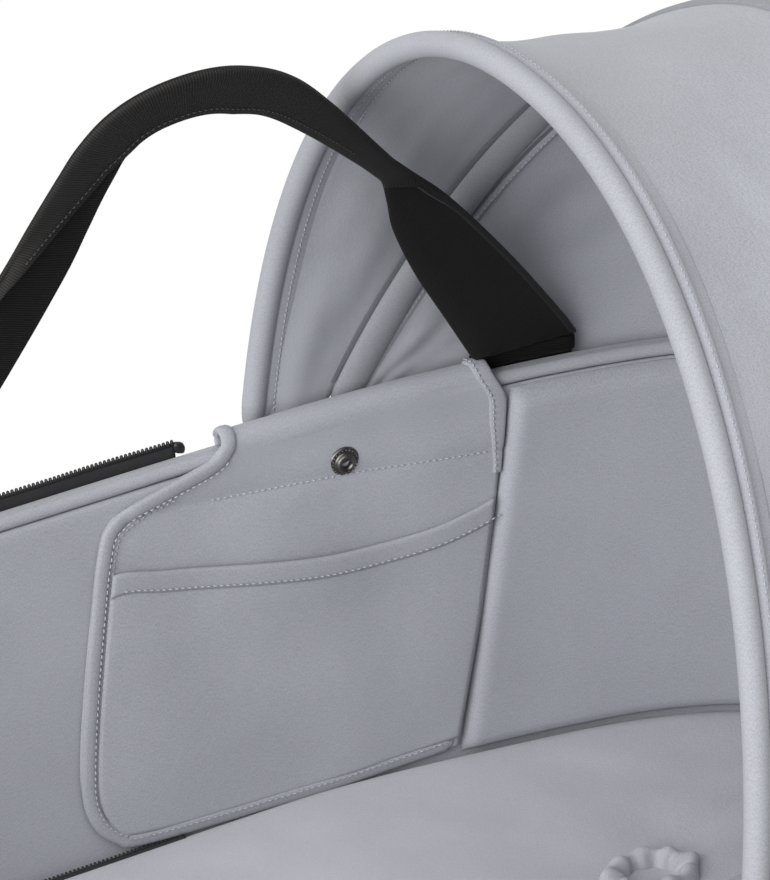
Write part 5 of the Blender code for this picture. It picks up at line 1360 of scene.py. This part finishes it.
# strips of the seam inside the rear panel: edge nearest the bow, far edge, height, finish
# the groove strip and the last strip take the dark cloth: painted shadow in the groove and along the far edge of the
# tape
seamStrips = (("seamEdge", -0.0050, -0.0036, 0.0017, "binding"),
              ("seamGrooveShade", -0.0037, -0.0004, 0.0009, "shadeCloth"),
              ("seamTape", -0.0005, 0.0030, 0.0019, "binding"),
              ("seamShadow", 0.0029, 0.0040, 0.0006, "shadeCloth"))


def makeSeamTape():
    # the folded seam inside the rear panel, behind the mid bow
    at = 0.070
    near, normal = canopyRear(np.array([at - 0.004, at, at + 0.004]))
    line, up = near[1], -normal[1]
    ahead = unit(near[2] - near[0])
    keep = slice(4, -4)
    line, up, ahead = line[keep], up[keep], ahead[keep]
    for name, low, high, height, finish in seamStrips:
        edge = min(0.0005, (high - low) / 3)
        outline = ((low, 0.0002), (low, height * 0.7), (low + edge, height), (high - edge, height),
                   (high, height * 0.7), (high, 0.0002))
        rows = [line + ahead * a + up * b for a, b in outline]
        settle(ribbon(name, rows, cloths[finish], 50), "hood_mid")
    lines = [(line + ahead * 0.0012 + up * 0.0019, up), (line - ahead * 0.0090 + up * 0.0009, up)]
    settle(stitchPiece("seamStitches", lines, cloths["thread"], pitch=0.0027), "hood_mid")


makeFrontCanopy()
makeRearCanopy()
makeHoodFront()
makeHoodMid()
makeSeamTape()
print("hood made")

# Handles: webbing folded double at the grip and opening flat down both legs
handle = {"width": 0.0380, "grip": 0.0225, "thick": 0.0022, "half": 0.1800, "rise": 0.2258, "lean": 20.0,
          "gap": 0.0009, "steps": 260, "shift": 0.00225,
          "openLeft": (0.42, 0.75), "openRight": (0.40, 0.62)}
handleEdge = ((-1.000, 0.000), (-0.805, 0.300), (-0.700, 0.470), (-0.587, 0.646), (-0.524, 0.761), (-0.461, 0.870),
              (-0.419, 0.936), (-0.354, 1.000), (-0.261, 1.040), (-0.140, 1.053), (-0.027, 1.034), (0.092, 0.978),
              (0.207, 0.874), (0.375, 0.692), (0.420, 0.651), (0.542, 0.547), (0.672, 0.410), (0.808, 0.254),
              (0.951, 0.078), (1.010, 0.000))
# width of the band against the run along the hinge line, both measured off the outer edge
handleWidth = ((-1.00, 0.0380), (-0.75, 0.0370), (-0.587, 0.0318), (-0.524, 0.0292), (-0.461, 0.0264), (-0.354, 0.0245),
               (-0.14, 0.0250), (-0.027, 0.0238), (0.092, 0.0205), (0.207, 0.0160), (0.30, 0.0122), (0.375, 0.0096),
               (0.42, 0.0104), (0.47, 0.0170), (0.542, 0.0262), (0.672, 0.0350), (0.808, 0.0400), (0.951, 0.0440),
               (1.010, 0.0450))


def handleLines():
    # the band's outer edge through its corners, and the direction square to it in the plane
    corners = [(handle["half"] * a, handle["rise"] * b) for a, b in handleEdge]
    edge = curveThrough(corners, handle["steps"])
    run = unit(np.gradient(edge, axis=0))
    inwards = np.stack([run[:, 1], -run[:, 0]], 1)
    return edge, inwards


def makeHandle(name, ends, sign, lean, down, body, node):
    # rows across the band along its outer edge: back layer, turn and front layer by the tables
    first, last = np.array(ends[0]), np.array(ends[1])
    along = unit(last - first)
    middle = (first + last) / 2
    inwards = np.array([0.0, -sign, 0.0])
    inwards = unit(inwards - along * float(inwards @ along))
    angle = math.radians(lean)
    rise = np.array([0, 0, -1.0 if down else 1.0]) * math.cos(angle) + inwards * math.sin(angle)
    face = np.cross(along, rise)
    if face[1] * sign > 0:
        face = -face
    edge, inplane = handleLines()
    at = edge[:, 0] / handle["half"]
    open_ = np.where(at < 0, ease(*handle["openLeft"], -at), ease(*handle["openRight"], at))
    broad = throughTable(handleWidth, at)
    fold = np.where(at < 0, 1 - ease(0.38, 0.645, -at), 1 - ease(0.36, 0.50, at))
    front = np.minimum(handle["grip"] * fold, broad - 0.0006)
    gap = 0.00125 * (0.25 + 0.75 * fold)
    lift = 0.0042 * np.sin(np.pi * open_) + 0.0022 * open_ * fold
    half = handle["thick"] / 2

    def spot(index, a, n):
        point = edge[index] + inplane[index] * a
        height = max(point[1], 0.0) + handle["gap"]
        return middle + along * (point[0] + handle["shift"]) + rise * height + face * n

    rows = []
    for i in range(len(edge)):
        w, f, g, l = broad[i], front[i], gap[i], lift[i]
        back = [(w - half * 0.6, -g), (w * 0.75, -g), (w * 0.5, -g), (w * 0.25, -g), (half * 1.4, -g)]
        turn = [(half * 1.1 - g * 0.9, -g * 0.55), (half * 1.0 - g * 1.1, 0.0), (half * 1.1 - g * 0.9, g * 0.55)]
        over = [(half * 1.4, g), (max(f * 0.35, half * 1.6), g + l * 0.15), (max(f * 0.65, half * 1.8), g + l * 0.45),
                (max(f, half * 2.0), g + l)]
        centre = np.array(back + turn + over)
        run = unit(np.gradient(centre, axis=0))
        side = np.stack([-run[:, 1], run[:, 0]], 1)
        outer = centre - side * half
        inner = centre + side * half
        tipA = centre[-1] + run[-1] * half * 0.8
        tipB = centre[0] - run[0] * half * 0.8
        loop = np.vstack([outer, tipA[None], inner[::-1], tipB[None]])
        rows.append([spot(i, a, n) for a, n in loop])
    points = np.array(rows)
    run = arcRun(edge)
    widths = spread(points[len(edge) // 3:len(edge) // 3 + 2], 1, True)
    parts = gridParts(points, wrapColumns=True, caps=True, across=widths, along=run)
    piece = newPiece(name, *parts, cloths["webbing"], sharp=70)
    # the folded front layer takes a lighter copy of the webbing, a painted sheen on the grip; the rest takes the plain
    # webbing colour
    piece.data.materials.append(cloths["webbingSheenFace"])
    columns = points.shape[1]
    faces = np.arange(len(piece.data.polygons))
    sheenFaces = (faces % columns >= 7) & (faces % columns <= 17) & (faces < (len(points) - 1) * columns)
    piece.data.polygons.foreach_set("material_index", sheenFaces.astype(np.int32))
    settle(piece, body, node)
    lines = []
    keep = np.where((at > -0.56) & (at < 0.33))[0]
    for side in (1, -1):
        path = np.array([spot(i, max(front[i] - 0.0030, 0.0020), side * (gap[i] + lift[i] * (side > 0) + half + 0.0001))
                         for i in keep])
        lines.append((path, np.broadcast_to(face * side, path.shape)))
    settle(stitchPiece(name + "Stitches", lines, cloths["darkThread"], pitch=0.0026, thread=0.00026), body)


def strapPiece(name, line, x, sign, node, lean=(0.0, 0.0)):
    # webbing sewn on the wall: swept along a profile of (depth, offset), with a box of stitches
    path = curveThrough(line, 60)
    half = handle["width"] / 2
    across = np.linspace(-half, half, 15)
    mid = []
    for depth, offset in path:
        k = float(1 - ease(-0.0095, 0.0030, depth))
        p = farWall(x + across * (1 + lean[1] * k) + lean[0] * k, depth, offset)
        mid.append(p * np.array([1, sign, 1]))
    grid = np.array(mid)
    piece = sheetPiece(name, grid, 0.0022, cloths["webbing"])
    settle(piece, "tub", node)
    lines = []
    inset = 0.0045
    low, high = 0.0560, 0.0360
    corners = ((low, -half + inset), (low, half - inset), (high, half - inset), (high, -half + inset),
               (low, -half + inset), (high, half - inset))
    extra = ((low, half - inset), (high, -half + inset))
    for stretch in (corners, extra):
        path = []
        for (d0, a0), (d1, a1) in zip(stretch[:-1], stretch[1:]):
            for t in np.linspace(0, 1, 24):
                offset = line[0][1] + 0.0012
                path.append(farWall(x + a0 + (a1 - a0) * t, d0 + (d1 - d0) * t, offset) * np.array([1, sign, 1]))
        path = np.array(path)
        keep = np.concatenate([[True], np.linalg.norm(np.diff(path, axis=0), axis=1) > 1e-6])
        path = path[keep]
        up = np.broadcast_to([0.0, float(sign), 0.05], path.shape)
        lines.append((path, up))
    settle(stitchPiece(name + "Stitches", lines, cloths["darkThread"], pitch=0.0028), "tub")


def makeHandles():
    # feet on the walls, then both handles and the four sewn ends
    feet = (-0.107, 0.2165)
    farEnds = []
    for x in feet:
        p = farWall(x, 0.0, 0.0055)
        farEnds.append((x, float(p[1]), 0.2505))
    makeHandle("farHandle", farEnds, 1.0, handle["lean"], False, "far_handle", "far_handle_webbing")
    nearEnds = []
    for x, offset in zip(feet, (0.02125, 0.02275)):
        p = farWall(x, 0.0, offset)
        nearEnds.append((x, -float(p[1]), 0.2400))
    makeHandle("nearHandle", nearEnds, -1.0, 0.0, True, "near_handle", "near_handle_webbing")
    strapPiece("farStrapFoot", ((0.0600, 0.0137), (0.020, 0.0137), (-0.0050, 0.0137), (-0.0080, 0.0128),
                                (-0.0092, 0.0100), (-0.0092, 0.0070)), feet[0], 1, "far_strap_foot")
    strapPiece("farStrapHead", ((0.0600, 0.0116), (0.020, 0.0116), (0.0020, 0.0114), (-0.0016, 0.0100),
                                (-0.0026, 0.0082), (-0.0052, 0.0068), (-0.0098, 0.0066)), feet[1], 1, "far_strap_head",
               (-0.0042, 0.27))
    strapPiece("nearStrapFoot", ((0.0600, 0.0130), (0.030, 0.0130), (0.0012, 0.0130)), feet[0], -1, "near_strap_foot")
    strapPiece("nearStrapHead", ((0.0600, 0.0117), (0.030, 0.0117), (0.0012, 0.0117)), feet[1], -1, "near_strap_head")


def makeRearStrip():
    # a flat profile along the wall, round the head end
    end = float(shareAt(0.318))
    share = np.linspace(-end, end, 160)
    profile = [(0.0030, 0.0105), (0.0030, 0.0118), (0.0080, 0.0119), (0.0130, 0.0118),
               (0.0130, 0.0105), (0.0080, 0.0104)]
    rows = [ringPoint(share, d, o) for d, o in profile]
    settle(ribbon("rearStrip", rows, cloths["webbing"], 60), "tub", "hood_rear_strip")


makeHandles()
makeRearStrip()
print("handles made")

# CAD solids that keep their own shape take a fuller finish, and a fine bevel where they are moulded
kept = {"plastic": ("adapter_housing_far", "adapter_housing_near", "hub_mount_far", "hub_mount_near",
                    "hub_washer_far", "hub_washer_near", "hub_cap_far", "hub_cap_near"),
        "gunmetal": ("release_plunger_far", "release_plunger_near"),
        "steel": ("hub_bolt_far", "hub_bolt_near", "plunger_spring_far", "plunger_spring_near"),
        "aluminium": ("rim_tube", "hood_front_bow", "hood_mid_bow"),
        "board": ("base_board", "far_wall_board", "near_wall_board", "head_wall_board", "foot_wall_board")}
bevelled = {"adapter_housing": 0.0009, "hub_mount": 0.0006, "hub_cap": 0.0005, "release_plunger": 0.0004}


def finishKept():
    # CAD nodes that keep their shape: new finish, bevel where moulded
    for finish, names in kept.items():
        for name in names:
            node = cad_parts[name]
            node.data.materials.clear()
            node.data.materials.append(cloths[finish])
            for start, width in bevelled.items():
                if name.startswith(start):
                    soft = node.modifiers.new("soft edges", "BEVEL")
                    soft.width, soft.segments, soft.limit_method = width, 2, "ANGLE"
                    soft.angle_limit = math.radians(35)


finishKept()
print("finishing")
